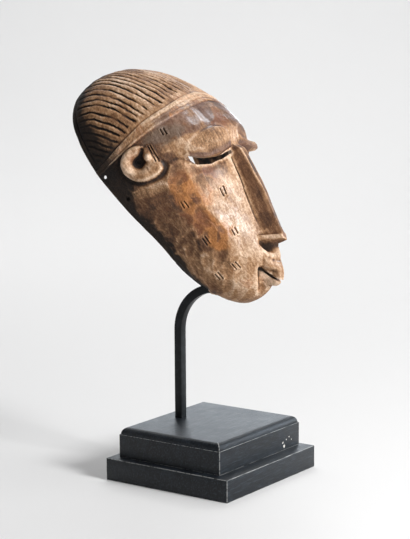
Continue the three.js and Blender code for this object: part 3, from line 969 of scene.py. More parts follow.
def dress(piece: Object, node: str, finish: Material) -> None:
    """Gives a piece its finish and its place in the frame, and logs it with its number of triangles.

    Args:
        piece: The piece.
        node: The solid that it replaces.
        finish: Its material.
    """
    piece.data.materials.clear()
    piece.data.materials.append(finish)
    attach(piece, "root")
    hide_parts(node)
    piece.data.calc_loop_triangles()
    LOG.info("%s: %d triangles", piece.name, len(piece.data.loop_triangles))


class Value:
    """A socket of a material, with arithmetic that adds Math nodes."""

    def __init__(self, net: "Net", socket: bpy.types.NodeSocket) -> None:
        """Wraps one output socket."""
        self.net = net
        self.socket = socket

    def math(self, operation: str, *others: "Value | float", first: bool = True) -> "Value":
        """Result of one Math node.

        Args:
            operation: The node's operation.
            others: The other operands.
            first: False where this value comes after the others.

        Returns:
            The node's output.
        """
        operands = (self, *others) if first else (*others, self)
        settings = {"operation": operation}
        return self.net.value("ShaderNodeMath", settings, dict(enumerate(operands)))

    def __add__(self, other: "Value | float") -> "Value":
        """Sum."""
        return self.math("ADD", other)

    def __radd__(self, other: float) -> "Value":
        """Sum with a number first."""
        return self.math("ADD", other)

    def __sub__(self, other: "Value | float") -> "Value":
        """Difference."""
        return self.math("SUBTRACT", other)

    def __rsub__(self, other: float) -> "Value":
        """Difference with a number first."""
        return self.math("SUBTRACT", other, first=False)

    def __mul__(self, other: "Value | float") -> "Value":
        """Product."""
        return self.math("MULTIPLY", other)

    def __rmul__(self, other: float) -> "Value":
        """Product with a number first."""
        return self.math("MULTIPLY", other)

    def most(self, other: "Value | float") -> "Value":
        """The larger of two values."""
        return self.math("MAXIMUM", other)

    def ramp(self, low: float, high: float) -> "Value":
        """Smooth step from 0 at low to 1 at high."""
        settings = {"interpolation_type": "SMOOTHSTEP", "clamp": True}
        return self.net.value("ShaderNodeMapRange", settings, {"Value": self, "From Min": low, "From Max": high})


class Net:
    """The node tree of one material."""

    def __init__(self, name: str) -> None:
        """Makes the material with its shader.

        Args:
            name: Name of the material.
        """
        self.material = bpy.data.materials.new(name)
        self.material.use_nodes = True
        self.tree = self.material.node_tree
        self.shader = self.tree.nodes["Principled BSDF"]
        coordinates = self.tree.nodes.new("ShaderNodeTexCoord")
        self.object = Value(self, coordinates.outputs["Object"])

    def node(self, kind: str, settings: dict, inputs: dict) -> bpy.types.Node:
        """Adds a node.

        Args:
            kind: The node's type.
            settings: Its properties, set first.
            inputs: Values or links by socket name or number.

        Returns:
            The node.
        """
        made = self.tree.nodes.new(kind)
        for key, setting in settings.items():
            setattr(made, key, setting)
        for key, given in inputs.items():
            self.feed(made.inputs[key], given)
        return made

    def feed(self, socket: bpy.types.NodeSocket, given: "Value | float | tuple") -> None:
        """Links a value to a socket, or sets the socket's own number.

        Args:
            socket: The socket.
            given: The value or the number.
        """
        if isinstance(given, Value):
            self.tree.links.new(given.socket, socket)
        else:
            socket.default_value = given

    def value(self, kind: str, settings: dict, inputs: dict, output: int | str = 0) -> Value:
        """One output of a new node."""
        return Value(self, self.node(kind, settings, inputs).outputs[output])

    def mix(self, share: "Value | float", a: "Value | Colour", b: "Value | Colour", blend: str = "MIX") -> Value:
        """Mix of two colours, with the share of the second."""
        settings = {"data_type": "RGBA", "blend_type": blend, "clamp_factor": True}
        return self.value("ShaderNodeMix", settings, {0: share, 6: a, 7: b}, 2)

    def noise(self, where: Value, scale: float, detail: float = 2, rough: float = 0.5, warp: float = 0) -> Value:
        """Noise from 0 to 1."""
        inputs = {"Vector": where, "Scale": scale, "Detail": detail, "Roughness": rough, "Distortion": warp}
        return self.value("ShaderNodeTexNoise", {"noise_dimensions": "3D"}, inputs)

    def placed(self, where: Value, turn: Triple, scale: Triple) -> Value:
        """The place, turned about the three axes and then scaled along them."""
        turned = self.value("ShaderNodeMapping", {"vector_type": "TEXTURE"}, {"Vector": where, "Rotation": turn})
        return self.value("ShaderNodeVectorMath", {"operation": "MULTIPLY"}, {0: turned, 1: scale})

    def painted(self, name: str) -> tuple[Value, Value, Value]:
        """The three channels of an attribute of the piece.

        Args:
            name: Name of the attribute.

        Returns:
            The channels.
        """
        colour = self.value("ShaderNodeAttribute", {"attribute_name": name}, {}, "Color")
        parts = self.node("ShaderNodeSeparateColor", {}, {0: colour})
        return tuple(Value(self, parts.outputs[k]) for k in range(3))

    def bump(self, height: Value, distance: float, strength: float = 1) -> Value:
        """Normal of a fine relief."""
        inputs = {"Height": height, "Distance": distance, "Strength": strength}
        return self.value("ShaderNodeBump", {}, inputs, "Normal")

    def finish(self, **inputs: "Value | float | tuple") -> Material:
        """Feeds the shader's sockets, named with underscores for spaces.

        Args:
            inputs: Values or numbers by socket name.

        Returns:
            The material.
        """
        for key, given in inputs.items():
            self.feed(self.shader.inputs[key.replace("_", " ")], given)
        return self.material


class Tone(Enum):
    """Tones of the mask's wood."""

    # The darkest tone, used for soot and also for painted shade in creases, recesses and holes.
    SOOT_AND_SHADE = srgb(17, 12, 9)
    UMBER = srgb(62, 41, 28)
    BROWN = srgb(116, 80, 53)
    TAN = srgb(182, 141, 103)
    PALE = srgb(228, 198, 170)
    OCHRE = srgb(196, 132, 74)
    RUST = srgb(122, 70, 42)
    GREY = srgb(124, 110, 98)
    PLUM = srgb(104, 74, 64)


@dataclass(frozen=True)
class OldWood:
    """Handled hardwood with a dark crust, tan where hands polished it, with painted shade and highlight in its colour.
    """

    grain: float = 420
    roughness: float = 0.6

    def material(self) -> Material:
        """The wood's material. It reads the attributes "wear", "stain" and "marks" of the mask.

        Returns:
            The material.
        """
        net = Net("carved_wood")
        worn, soot, orange = net.painted("wear")
        ridge, gloss, grey = net.painted("stain")
        facet, plum, hatched = net.painted("marks")
        lean = RIM_TILT - math.pi / 2
        lengthwise = net.placed(net.object, (lean, 0, 0), (1, 1, 0.16))
        slanting = net.placed(net.object, (lean, 0.6, 0), (1, 1, 0.14))
        broad = net.noise(net.object, 30, 4, 0.62, 0.4)
        patch = net.noise(net.object, 80, 5, 0.6, 0.8)
        fine = net.noise(net.object, 430, 4, 0.7)
        grain = net.noise(lengthwise, self.grain, 4, 0.6, 0.3)
        streak = net.noise(lengthwise, 150, 3, 0.55, 0.5)
        hatch = net.noise(slanting, 900, 2, 0.6, 0.15)
        edge = (ridge - 0.5) * 2
        blotch = (patch - 0.5) * 1.5 + (broad - 0.5) * 0.7
        calm = 1 - worn.ramp(0.35, 0.85) * 0.7
        # The level also takes the painted highlight on the lid's upper arc and the painted shade on the lid's lower
        # band, the nose's sides and the ear's foot.
        level = worn + blotch * calm * 0.28 + edge * 0.55 + (grain - 0.5) * 0.5 + (facet - 0.5) * 0.36
        level = level + (fine - 0.5) * 0.16
        colour = net.mix(level.ramp(-0.06, 0.36), Tone.UMBER.value, Tone.BROWN.value)
        colour = net.mix(level.ramp(0.26, 0.78), colour, Tone.TAN.value)
        colour = net.mix(level.ramp(0.64, 1.12), colour, Tone.PALE.value)
        purple = (plum + (patch - 0.5) * 1.2 + (facet - 0.5) * 0.2).ramp(0.3, 0.8)
        colour = net.mix(purple * 0.75, colour, Tone.PLUM.value)
        ashen = (grey + (broad - 0.5) * 1.2 + (facet - 0.5) * 0.5).ramp(0.4, 0.8)
        colour = net.mix(ashen * 0.65, colour, Tone.GREY.value)
        rusty = (facet * 0.9 + patch * 0.8 - worn * 0.9 - edge * 0.3 + (grain - 0.5) * 0.6).ramp(0.3, 0.96)
        warm = (orange + (patch - 0.5) * 0.7 + (facet - 0.5) * 0.7 + (streak - 0.5) * 0.5).ramp(0.3, 0.68)
        ochre = net.mix(rusty, Tone.OCHRE.value, Tone.RUST.value)
        colour = net.mix(warm * (0.58 + 0.24 * patch.ramp(0.35, 0.6)), colour, ochre)
        scorch = (orange * 0.5 - 0.25 - blotch * 0.9 - edge * 0.4 + (facet - 0.5) * 0.45).ramp(0.22, 0.5)
        colour = net.mix(scorch * 0.5, colour, Tone.UMBER.value)
        # Soot, dirt and painted shade in creases, recesses and holes all darken towards the darkest tone here.
        dirt_and_painted_shade = (soot - blotch * 0.35 - edge * 0.55 + (streak - 0.5) * 0.4).ramp(0.2, 0.9)
        colour = net.mix(dirt_and_painted_shade * 0.94, colour, Tone.SOOT_AND_SHADE.value)
        lines = (1 - hatch.ramp(0.38, 0.52)) * hatched
        colour = net.mix(lines * 0.5, colour, Tone.UMBER.value)
        speck = (fine * 0.6 + grain * 0.4).ramp(0.4, 0.62)
        shade = net.mix(speck, srgb(208, 198, 188), srgb(255, 255, 255))
        colour = net.mix(1.0, colour, shade, "MULTIPLY")
        shine = gloss * (patch * 0.6 + fine * 0.4).ramp(0.36, 0.56)
        rough = self.roughness - shine * 0.36 + (fine - 0.5) * 0.3 + dirt_and_painted_shade * 0.12
        relief = grain * 0.5 + fine * 0.5 + patch * 0.8 - (1 - streak.ramp(0.26, 0.36)) * 0.5 - lines * 0.5
        return net.finish(
            Base_Color=colour, Roughness=rough, Normal=net.bump(relief, 0.0015, 0.6), Specular_IOR_Level=0.3,
            Coat_Weight=shine * 0.7, Coat_Roughness=0.24,
        )


@dataclass(frozen=True)
class BlackPaint:
    """Satin black paint over open grain, with small chips to the pale ground, and edges pale from thin paint and a
    painted highlight.
    """

    roughness: float = 0.42
    grain: Triple = (0.1, 1, 1)
    chips: tuple[Four, ...] = ()

    def material(self, name: str) -> Material:
        """The paint's material.

        Args:
            name: Name of the material.

        Returns:
            The material.
        """
        net = Net(name)
        stretched = net.placed(net.object, (0, 0, 0), self.grain)
        pores = net.noise(stretched, 520, 3, 0.6)
        swirl = net.noise(stretched, 90, 2, 0.5, 1.2)
        dust = net.noise(net.object, 60, 4, 0.7)
        rubbed_and_highlight = net.painted("edge")[0]
        colour = net.mix(dust.ramp(0.4, 0.8), srgb(15, 19, 24), srgb(29, 35, 42))
        colour = net.mix(pores.ramp(0.5, 0.64) * 0.45, colour, srgb(50, 58, 66))
        # Pale on the narrow edge faces: thin paint, and a painted highlight along the edges.
        colour = net.mix(rubbed_and_highlight * pores.ramp(0.36, 0.54) * 0.8, colour, srgb(146, 147, 146))
        chip: Value | None = None
        for x, y, z, radius in self.chips:
            inputs = {0: net.object, 1: (x * MM, y * MM, z * MM)}
            away = net.value("ShaderNodeVectorMath", {"operation": "DISTANCE"}, inputs, "Value")
            spot = 1 - (away * (1 / (radius * MM)) + (net.noise(net.object, 700, 2) - 0.5) * 1.4).ramp(0.75, 1)
            chip = spot if chip is None else chip.most(spot)
        rough = self.roughness + (dust - 0.5) * 0.22 + (pores - 0.5) * 0.12
        relief = pores * 0.6 + swirl * 0.5
        if chip is not None:
            colour = net.mix(chip, colour, srgb(206, 204, 198))
            rough = rough + chip * 0.3
            relief = relief - chip * 0.8
        return net.finish(
            Base_Color=colour, Roughness=rough, Normal=net.bump(relief, 0.0008, 0.6), Specular_IOR_Level=0.34
        )


@dataclass(frozen=True)
class BlackIron:
    """Dark lacquered square bar."""

    roughness: float = 0.38

    def material(self) -> Material:
        """The iron's material.

        Returns:
            The material.
        """
        net = Net("black_iron")
        cloud = net.noise(net.object, 130, 4, 0.65)
        fine = net.noise(net.object, 900, 3, 0.6)
        colour = net.mix(cloud.ramp(0.4, 0.75), srgb(18, 20, 22), srgb(34, 37, 40))
        rough = self.roughness + (cloud - 0.5) * 0.25 + (fine - 0.5) * 0.15
        return net.finish(
            Base_Color=colour, Roughness=rough, Normal=net.bump(fine + cloud, 0.0002, 0.5), Specular_IOR_Level=0.2
        )


@dataclass(frozen=True)
class Surface:
    """The carved surface, vertex by vertex: where each one lies and what was carved there.

    plain and carved are rows of points, and the others hold one number for each vertex.
    """

    at: Array
    side: Array
    plain: Array
    carved: Array
    groove: Array
    cut: Array
    ear: Array
    pit: Array
    nose: Array
    crease: Array
    tone: Array

    @property
    def t(self) -> Array:
        """Shares across without their sign."""
        return np.abs(self.side)

    @property
    def half(self) -> Array:
        """Distances from the middle."""
        return np.abs(self.plain[:, 0])

    @property
    def up(self) -> Array:
        """Distances up the rim."""
        return self.plain[:, 1]

    @property
    def out(self) -> Array:
        """Distances out from the rim."""
        return self.plain[:, 2]

    def pick(self, index: Array) -> "Surface":
        """The same values for a choice of vertices."""
        return Surface(**{name: values[index] for name, values in vars(self).items()})


@dataclass(frozen=True)
class Patina:
    """How rubbing, grime, colour, painted shade and highlight lie on the mask: named zones and each channel's share of
    them.

    A spot is a soft oval as (name, place along the face, its reach, place across, its reach).
    """

    face: Face
    hair: Hair
    spots: tuple[tuple[str, float, float, float, float], ...] = (
        ("jaw_side", 3.8, 1.4, 0.68, 0.18), ("chin_side", 2.6, 1.6, 0.6, 0.3), ("mouth_side", 3.9, 0.9, 0.34, 0.2),
        ("mouth_corner", 3.5, 1, 0.35, 0.2), ("cheek_back", 8.6, 0.3, 0.7, 0.12), ("cheek_top", 8.6, 0.5, 0.42, 0.1),
        ("cheek_front", 6.8, 1.4, 0.22, 0.14), ("cheek_gloss", 6.6, 1.5, 0.24, 0.12), ("below_eye", 8.2, 0.8, 0.3, 0.1),
        ("temple", 9.7, 0.4, 0.55, 0.12), ("temple_edge", 9.5, 0.5, 0.58, 0.08), ("brow_gloss", 10.4, 0.9, 0.5, 0.2),
        ("forehead_middle", 10.5, 0.5, 0.06, 0.13), ("forehead_side", 10.75, 0.5, 0.5, 0.14),
    )
    # Besides real wear, these shares paint a highlight on the lid's upper arc and shade on the lid's lower band, the
    # nose's sides and the ear's foot.
    worn: Shares = (
        ("front", 0.43), ("brow", -0.2), ("lid_low", -0.6), ("under_eye", -0.5), ("lid_arc", 0.32),
        ("between_brows", -0.3), ("chin", -0.12), ("nose_ridge", -0.72), ("under_band", -0.1), ("cap_top", 0.34),
        ("band", 0.34), ("band_end", 0.3), ("ear", 0.6), ("ear_foot", -0.34), ("cloud", 0.1), ("low_jaw", -0.14),
        ("flank", -0.34), ("flank_top", -0.22), ("behind_cheek", -0.14), ("jaw_side", 0.36), ("cheek_back", 0.54),
        ("round_eye", -0.12), ("lip_edge", 0.2), ("brow_middle", -0.22), ("worn_cheek", 0.14), ("temple", -0.14),
        ("lower_lip", 0.4), ("chin_side", 0.14),
    )
    soot: Shares = (("by_rim", 0.9), ("far_side", 0.3), ("cap_back", 0.55), ("cap_side", 0.3))
    # Besides real dirt, these shares paint shade in the crease beside the nose, on the lid's lower band and the nose's
    # sides, around the ear, under the nose, beside the lips, in the mouth line and in the ear holes.
    dirt_and_painted_shade: Shares = (
        ("cut", 0.48), ("crease", 0.45), ("clean_front", -0.15), ("flank", 0.14), ("lid_low", 0.1), ("behind", 0.3),
        ("ear_front", 0.45), ("lower_lip", -0.25), ("under_nose", 0.4), ("beside_lips", 0.5), ("lip_gap", 0.8),
        ("pit", 0.95),
    )
    orange: Shares = (
        ("cheek_patch", 1.05), ("forehead_middle", 0.26), ("band", 0.16), ("lower_lip", 0.36), ("below_eye", 0.3),
        ("mouth_side", 0.22),
    )
    grey: Shares = (
        ("forehead_side", 1.1), ("temple_edge", 0.5), ("low_jaw", 0.35), ("mouth_corner", 0.25), ("under_eye", 0.42),
    )
    gloss: Shares = (
        ("cheek_gloss", 1), ("forehead_gloss", 0.9), ("nose_gloss", 0.4), ("brow_gloss", 0.5), ("lid_arc", 0.9),
    )
    plum: Shares = (("brow_side", 0.9), ("cheek_top", 0.4), ("lid_low", 0.8), ("brow_between", 0.3))
    worn_base: float = 0.36
    orange_base: float = 0.06
    groove_soot: float = 0.95
    ear_clean: float = 0.85
    hollow_worn: float = 0.25
    hollow_soot_and_shade: float = 0.62
    seed: int = 23

    def zones(self, here: Surface) -> Zones:
        """Every named zone, with noise that breaks the borders of some.

        Args:
            here: The vertices to paint.

        Returns:
            Shares by the name of the zone.
        """
        at, t = here.at, here.t
        noise, cheek_edge = Noise(self.seed), along(self.face.cheek_edge, here.at)
        cloud, fine = noise.rough(here.plain, 34, 3), noise.rough(here.plain + 400, 11, 3)
        cap = ramp(at, 11.4, 11.8)
        zones = {name: bell(at, a, b) * bell(t, c, d) for name, a, b, c, d in self.spots}
        # pit marks the ear holes, whose darkening is painted shade inside them.
        zones |= {"cap": cap, "cloud": cloud, "cut": here.cut, "ear": here.ear, "pit": here.pit}
        # The nose's sides are painted darker, partly as darker wood and partly as painted shade on the side turned from
        # the main lamp.
        zones["flank"] = ramp(here.nose, 0.5, 2.2) * ramp(here.half, 3.4, 5.0)
        before, after = ramp(t - cheek_edge + 0.04 * cloud, -0.03, 0.07), ramp(t + 0.05 * cloud, 0.42, 0.66)
        zones["front"] = (1 - before * (at < 9.5) - after * (at >= 9.5)) * (1 - cap)
        zones["cheek_patch"] = between(at, (4.6, 5.6), (8.0, 9.2)) * bell(t, cheek_edge + 0.1, 0.12)
        for part in (self.eye_zones, self.mouth_zones, self.head_zones):
            zones |= part(here, zones)
        zones["worn_cheek"] = zones["front"] * zones["cheek_front"]
        zones["clean_front"] = zones["front"] * (here.cut < 0.1) * (1 - zones["flank"])
        zones["by_rim"] = 1 - ramp(here.out + 6 * fine, 3, 26)
        zones["far_side"] = ramp(t + 0.05 * cloud, 0.78, 0.96) * (1 - here.ear)
        zones["cap_back"] = cap * ramp(at + 0.4 * cloud, 14.4, 16.4)
        return zones

    def eye_zones(self, here: Surface, zones: Zones) -> Zones:
        """The zones of the eyes and the brow.

        Args:
            here: The vertices to paint.
            zones: The zones made before these.

        Returns:
            Shares by the name of the zone.
        """
        at, t, half, up, cap = here.at, here.t, here.half, here.up, zones["cap"]
        above = up - along(self.face.lid_edge, half)
        spread = self.face.lid_spread(half, up)
        lid = bell(half, 37, 22) * bell(up, 137, 13)
        brow = ramp(at, 9.9, 10.4) * (1 - cap)
        scratched = np.maximum(lid * (above > 0), ramp(t, 0.5, 0.6) * ramp(at, 4, 6) * 0.8)
        return {
            "brow": brow,
            "brow_middle": brow * (t < 0.3),
            "brow_between": brow * (t < 0.2),
            "brow_side": brow * bell(t, 0.34, 0.24) * (1 - lid),
            # The lid's lower band is painted darker and plum as painted shade under the dome; its upper arc is painted
            # lighter as a painted highlight, besides being glossier.
            "lid_low": ramp(spread, 0, 0.1) * (above > -1) * (1 - ramp(above, 1, 9)),
            "lid_arc": bell(spread, -0.02, 0.09) * (above > 6) * (1 - cap),
            "round_eye": bell(half, 37, 24) * bell(up, 140, 14),
            "under_eye": bell(at, 8.55, 0.38) * between(t, (0.08, 0.14), (0.34, 0.46)) * (above < -1),
            "between_brows": bell(at, 10.0, 0.32) * (1 - ramp(t, 0.2, 0.32)),
            "under_band": ramp(at, 10.9, 11.2) * (1 - ramp(t, 0.2, 0.35)),
            "forehead_gloss": bell(at, 10.5, 0.4) * (t < 0.5),
            "scratched": scratched * (1 - cap) * (1 - here.ear),
        }

    def mouth_zones(self, here: Surface, zones: Zones) -> Zones:
        """The zones of the nose, the mouth and the chin.

        Args:
            here: The vertices to paint.
            zones: The zones made before these.

        Returns:
            Shares by the name of the zone.
        """
        at, t, half, up, nose = here.at, here.t, here.half, here.up, here.nose
        mouth, lips_half = self.face.mouth(half), self.face.lips_half
        return {
            "nose_ridge": bell(half, 0, 4) * ramp(nose, 2, 5),
            "nose_gloss": bell(half, 0, 6),
            "flank_top": ramp(up, 30, 70) * zones["flank"],
            # Painted shade along the crease beside the nose.
            "crease": np.clip(here.crease, 0, 1),
            # Painted shade under the nose.
            "under_nose": bell(half, 10, 9) * bell(up, 1, 9) * (nose < 1) * (at > 4.75),
            "lip_edge": bell(at, mouth - 0.22, 0.16) * (half < 16),
            # Painted shade in the line between the lips.
            "lip_gap": bell(at, mouth, 0.09) * (half < lips_half + 2),
            "lower_lip": bell(at, mouth - 0.4, 0.28) * (half < lips_half),
            # Painted shade in the recess beside the lips.
            "beside_lips": self.face.beside_lips(at, half) / self.face.recess * ramp(at, 3, 3.6),
            "chin": (1 - ramp(at, 3, 3.8)) * (t < 0.45),
            "low_jaw": 1 - ramp(at, 1.2, 3.6),
        }

    def head_zones(self, here: Surface, zones: Zones) -> Zones:
        """The zones of the headband, the cap, the ears and what lies behind them.

        Args:
            here: The vertices to paint.
            zones: The zones made before these.

        Returns:
            Shares by the name of the zone.
        """
        at, t, ear, cap = here.at, here.t, here.ear, zones["cap"]
        front, back = along(self.hair.band_front, t), along(self.hair.band_back, t)
        band = between(at, (front - 0.1, front), (back, back + 0.2))
        return {
            "band": band,
            "band_end": ramp(t, 0.55, 0.85) * band,
            "cap_top": cap * (1 - ramp(t, 0.3, 0.85)) * (1 - ramp(at, 13.5, 16.4)),
            "cap_side": cap * ramp(t, 0.6, 0.95),
            # The ear's foot is painted darker as shade on its lower side, and the ground in front of and below the ear
            # is darkened as soot and painted shadow.
            "ear_foot": ear * (1 - ramp(at, 9.3, 9.9)),
            "ear_front": ramp(at, 8.2, 9.6) * bell(t, 0.92, 0.14) * (1 - ear),
            "behind": (1 - ramp(here.out, 30, 62)) * ramp(at, 8.2, 9.2) * (1 - ear),
            "behind_cheek": ramp(t, 0.56, 0.64) * between(at, (6.4, 7.4), (8.2, 8.7)),
        }

    def channels(self, here: Surface, inside: Array) -> Zones:
        """The painted channels.

        Args:
            here: The vertices to paint.
            inside: Share of the hollow, 0 on the outer surface.

        Returns:
            Values by the name of the channel.
        """
        zones = self.zones(here)
        soot = self.total(self.soot, zones) * (1 - self.ear_clean * here.ear)
        # The dirt shares also darken creases, recesses and holes as painted shade.
        soot = np.maximum(soot, self.groove_soot * here.groove) + self.total(self.dirt_and_painted_shade, zones)
        worn = self.worn_base + self.total(self.worn, zones)
        outside = {
            "orange": self.orange_base + self.total(self.orange, zones),
            "grey": self.total(self.grey, zones) * (1 - 0.9 * zones["lower_lip"]),
            "gloss": self.total(self.gloss, zones),
            "plum": self.total(self.plum, zones),
            "scratched": zones["scratched"],
        }
        channels = {name: value * (1 - inside) for name, value in outside.items()}
        channels["worn"] = worn * (1 - inside) + self.hollow_worn * inside
        # Inside the hollow the wood is painted dark: soot, and painted shade where it shows through the eye slits.
        channels["soot"] = soot * (1 - inside) + self.hollow_soot_and_shade * inside
        return channels

    @staticmethod
    def total(shares: Shares, zones: Zones) -> Array:
        """Sum of the zones, each by its share."""
        return sum(share * zones[name] for name, share in shares)


@dataclass
class Mask:
    """The carved face with its cap, ears, pierced eyes and hollow back."""

    form: Form = field(default_factory=Form)
    face: Face = field(default_factory=Face)
    hair: Hair = field(default_factory=Hair)
    ear: Ear = field(default_factory=Ear)
    cuts: Cuts = field(default_factory=Cuts)
    marks: ToolMarks = field(default_factory=ToolMarks)
    strokes: ToolMarks = ToolMarks(
        along_face=13, across_face=3.7, bowl=0.055, tilt=0.05, depth=0.22, lean=-0.5, seed=41
    )
    scar_near: float = 3.2
    hollow_marks: ToolMarks = ToolMarks(along_face=19, across_face=12, bowl=0.014, tilt=0.1, depth=0.5, seed=31)
    hollow_grid: tuple[int, int] = (108, 100)
    hollow_crowd: float = 1.1
    skirt: float = 6
    far_lid_more: float = 0.3
    far_lid_fall: Pair = (2, 15)
    slit_lower: Curve = (
        (0.066, 8.97), (0.114, 8.89), (0.168, 8.85), (0.22, 8.8), (0.276, 8.83), (0.33, 8.9), (0.35, 8.98),
        (0.376, 9.13), (0.388, 9.3),
    )
    slit_upper: Curve = (
        (0.066, 9.09), (0.093, 9.07), (0.137, 9.01), (0.19, 9.0), (0.239, 9.03), (0.284, 9.08), (0.329, 9.17),
        (0.359, 9.26), (0.388, 9.34),
    )
    slit_slant: Triple = (0.806, -0.2, 0.557)
    slit_slant_share: Triple = (0.35, 0.1, 0.24)
    slit_outward: float = 20
    slit_inward: float = 24
    slit_spread: float = 1.3
    slit_steps: int = 44
    tying_holes: tuple[tuple[int, float, float, float], ...] = ((-1, 164, 7, 0.8), (-1, 130, 13, 0), (1, 130, 13, 0))
    tying_radius: float = 2.4
    tying_slant_less: float = 0.3
    tying_length: float = 40
    tying_lip: Pair = (2.7, 4.2)
    crisp: float = 50
    seed: int = 3

    def __post_init__(self) -> None:
        """Lays out the rows and columns of the carved surface."""
        self.sheet = Sheet(self.form, self.face, self.hair)
        self.patina = Patina(self.face, self.hair)

    def carve(self, at: Array, side: Array) -> Surface:
        """Places of the carved surface.

        Args:
            at: Places in sections.
            side: Shares across.

        Returns:
            The carved surface.
        """
        plain, angle = self.form.place(at, side)
        normal = self.form.normal(at, side)
        half, t = np.abs(plain[:, 0]), np.abs(side)
        up, out0 = plain[:, 1], plain[:, 2]
        on_face = (at < 11.5) * (1 - ramp(t, 0.56, 0.64))
        out = out0 + on_face * self.face.lid(half, up) * self.far_lid(plain[:, 0], up)
        nose, crease = self.face.nose(half, up, out)
        out = out + on_face * (nose - crease * (nose <= 0) - self.face.nostril(half, up))
        lips = self.face.lips(at, half)
        turned = angle + self.face.lips_turn
        carved = np.stack([
            plain[:, 0],
            up + on_face * self.face.undercut(half, up) + lips * np.cos(turned),
            out + lips * np.sin(turned),
        ], -1)
        locks, groove = self.hair.combed(at, side, out0, plain)
        raised = self.hair.band(at, t) + locks - self.hair.rim_line(at, out0)
        uneven, tone = self.wander(at, t, plain)
        raised = raised + uneven + self.edge_of_cheek(at, t, plain) - self.face.beside_lips(at, half) * on_face
        cut_away = self.cuts.away(self.form, plain)
        scar = np.maximum(0, 1 - (cut_away / self.cuts.width) ** 2)
        raised = raised - self.cuts.depth * scar + self.cuts.lip * bell(cut_away, 1.6 * self.cuts.width, 0.6)
        raised = raised * ramp(out0, 0, 3)
        carved = carved + normal * raised[:, None]
        carved, ear, pit = self.add_ears(carved, plain, side)
        return Surface(
            at, side, plain, carved + self.round_rim(plain), groove, scar, ear, pit, nose, crease * (nose <= 0), tone
        )

    def add_ears(self, carved: Array, plain: Array, side: Array) -> tuple[Array, Array, Array]:
        """Raises the ears, and tells where they and their holes are.

        Args:
            carved: Points of the surface so far.
            plain: Points of the plain form.
            side: Shares across, from -1 to 1.

        Returns:
            The points with the ears on, the share of the ear at each, and the share of its hole.
        """
        share, pit = np.zeros(len(side)), np.zeros(len(side))
        for sign in (-1, 1):
            centre, axes = self.ear.frame(self.form, sign)
            local = (plain - centre) @ axes.T
            here = side * sign > 0.3
            height = self.ear.relief(local[:, 0], local[:, 1]) * here
            carved = carved + axes[2] * height[:, None]
            share = np.maximum(share, np.clip(height / 4, 0, 1))
            near = np.hypot(local[:, 0], local[:, 1]) < self.ear.pit_reach
            pit = np.maximum(pit, here * near * (1 - ramp(height, -1.5, 2.5)))
        return carved, share, pit

    def far_lid(self, across: Array, up: Array) -> Array:
        """How much higher and shorter the lid of the far eye was left than the near one.

        Args:
            across: Distances from the middle, above 0 on the far side.
            up: Distances up the rim.

        Returns:
            Factors for the height of the lid.
        """
        above = up - along(self.face.lid_edge, np.abs(across))
        start, end = self.far_lid_fall
        wide = 6 * ramp(across, 40, 48)
        fall = ramp(above, start + wide, end + 0.3 * wide) * ramp(across, 2, 10)
        return (1 + self.far_lid_more * ramp(across, 36, 46)) * (1 - 0.97 * fall)

    def wander(self, at: Array, t: Array, plain: Array) -> tuple[Array, Array]:
        """The hand's unevenness, with blade marks and lumps, and the random share of each mark.

        Args:
            at: Places in sections from the chin.
            t: Shares across without their sign.
            plain: Points of the plain form.

        Returns:
            Heights, and shares from 0 to 1.
        """
        noise = Noise(self.seed)
        scoops, tone = self.marks.scoops(plain)
        strokes = self.strokes.scoops(plain)[0]
        cheek = between(t, (0.2, 0.42), (0.9, 1.0)) * (1 - ramp(at, 9.4, 10.4))
        brow = between(at, (10, 10.6), (11.2, 11.5))
        cap = ramp(at, 11.8, 12.2)
        side_face = ramp(t, 0.42, 0.52) * (1 - ramp(at, 9.8, 10.3)) * ramp(at, 2, 3.5)
        mouth = bell(at, 4.2, 0.8) * (1 - ramp(t, 0.2, 0.32))
        share = 0.28 + 0.85 * cheek + 0.5 * brow + 0.08 * cap - 0.2 * mouth
        patchy = ramp(noise(plain + 300, 24), -0.5, 0.4)
        lumps = 0.5 * noise.rough(plain, 42, 2) + 0.28 * noise.rough(plain + 200, 15, 3)
        return scoops * share + 0.65 * strokes * side_face * patchy + lumps * (1 - 0.7 * mouth), tone

    def edge_of_cheek(self, at: Array, t: Array, plain: Array) -> Array:
        """Height of the ridge between the front of the cheek and its side.

        Args:
            at: Places in sections from the chin.
            t: Shares across without their sign.
            plain: Points of the plain form.

        Returns:
            Heights.
        """
        middle = along(self.face.cheek_edge, at)
        reach = 0.11 + 0.03 * Noise(self.seed + 2)(plain, 30)
        peak = np.maximum(0, 1 - np.abs(t - middle) / reach) ** 1.4
        return self.face.cheek_raise * peak * between(at, (3.4, 4.6), (8.6, 9.6))

    def round_rim(self, plain: Array) -> Array:
        """Rounds the outer edge of the flat rim, and nibbles it here and there.

        Args:
            plain: Points of the plain form.

        Returns:
            How far each point moves.
        """
        noise = Noise(self.seed + 4)
        radius = 2.2 + 1.1 * noise(plain, 23)
        low = np.clip(1 - plain[:, 2] / radius, 0, 1)
        inward = radius * (1 - np.sqrt(np.maximum(0, 1 - low**2)))
        chip = 2.0 * ramp(noise(plain + 60, (9, 9, 200)), 0.45, 0.8) * low**1.5
        toward = np.array([0.0, 120.0, 0.0]) - plain
        toward[:, 2] = 0
        toward /= np.linalg.norm(toward, axis=1, keepdims=True) + 1e-9
        return toward * (inward + chip)[:, None]

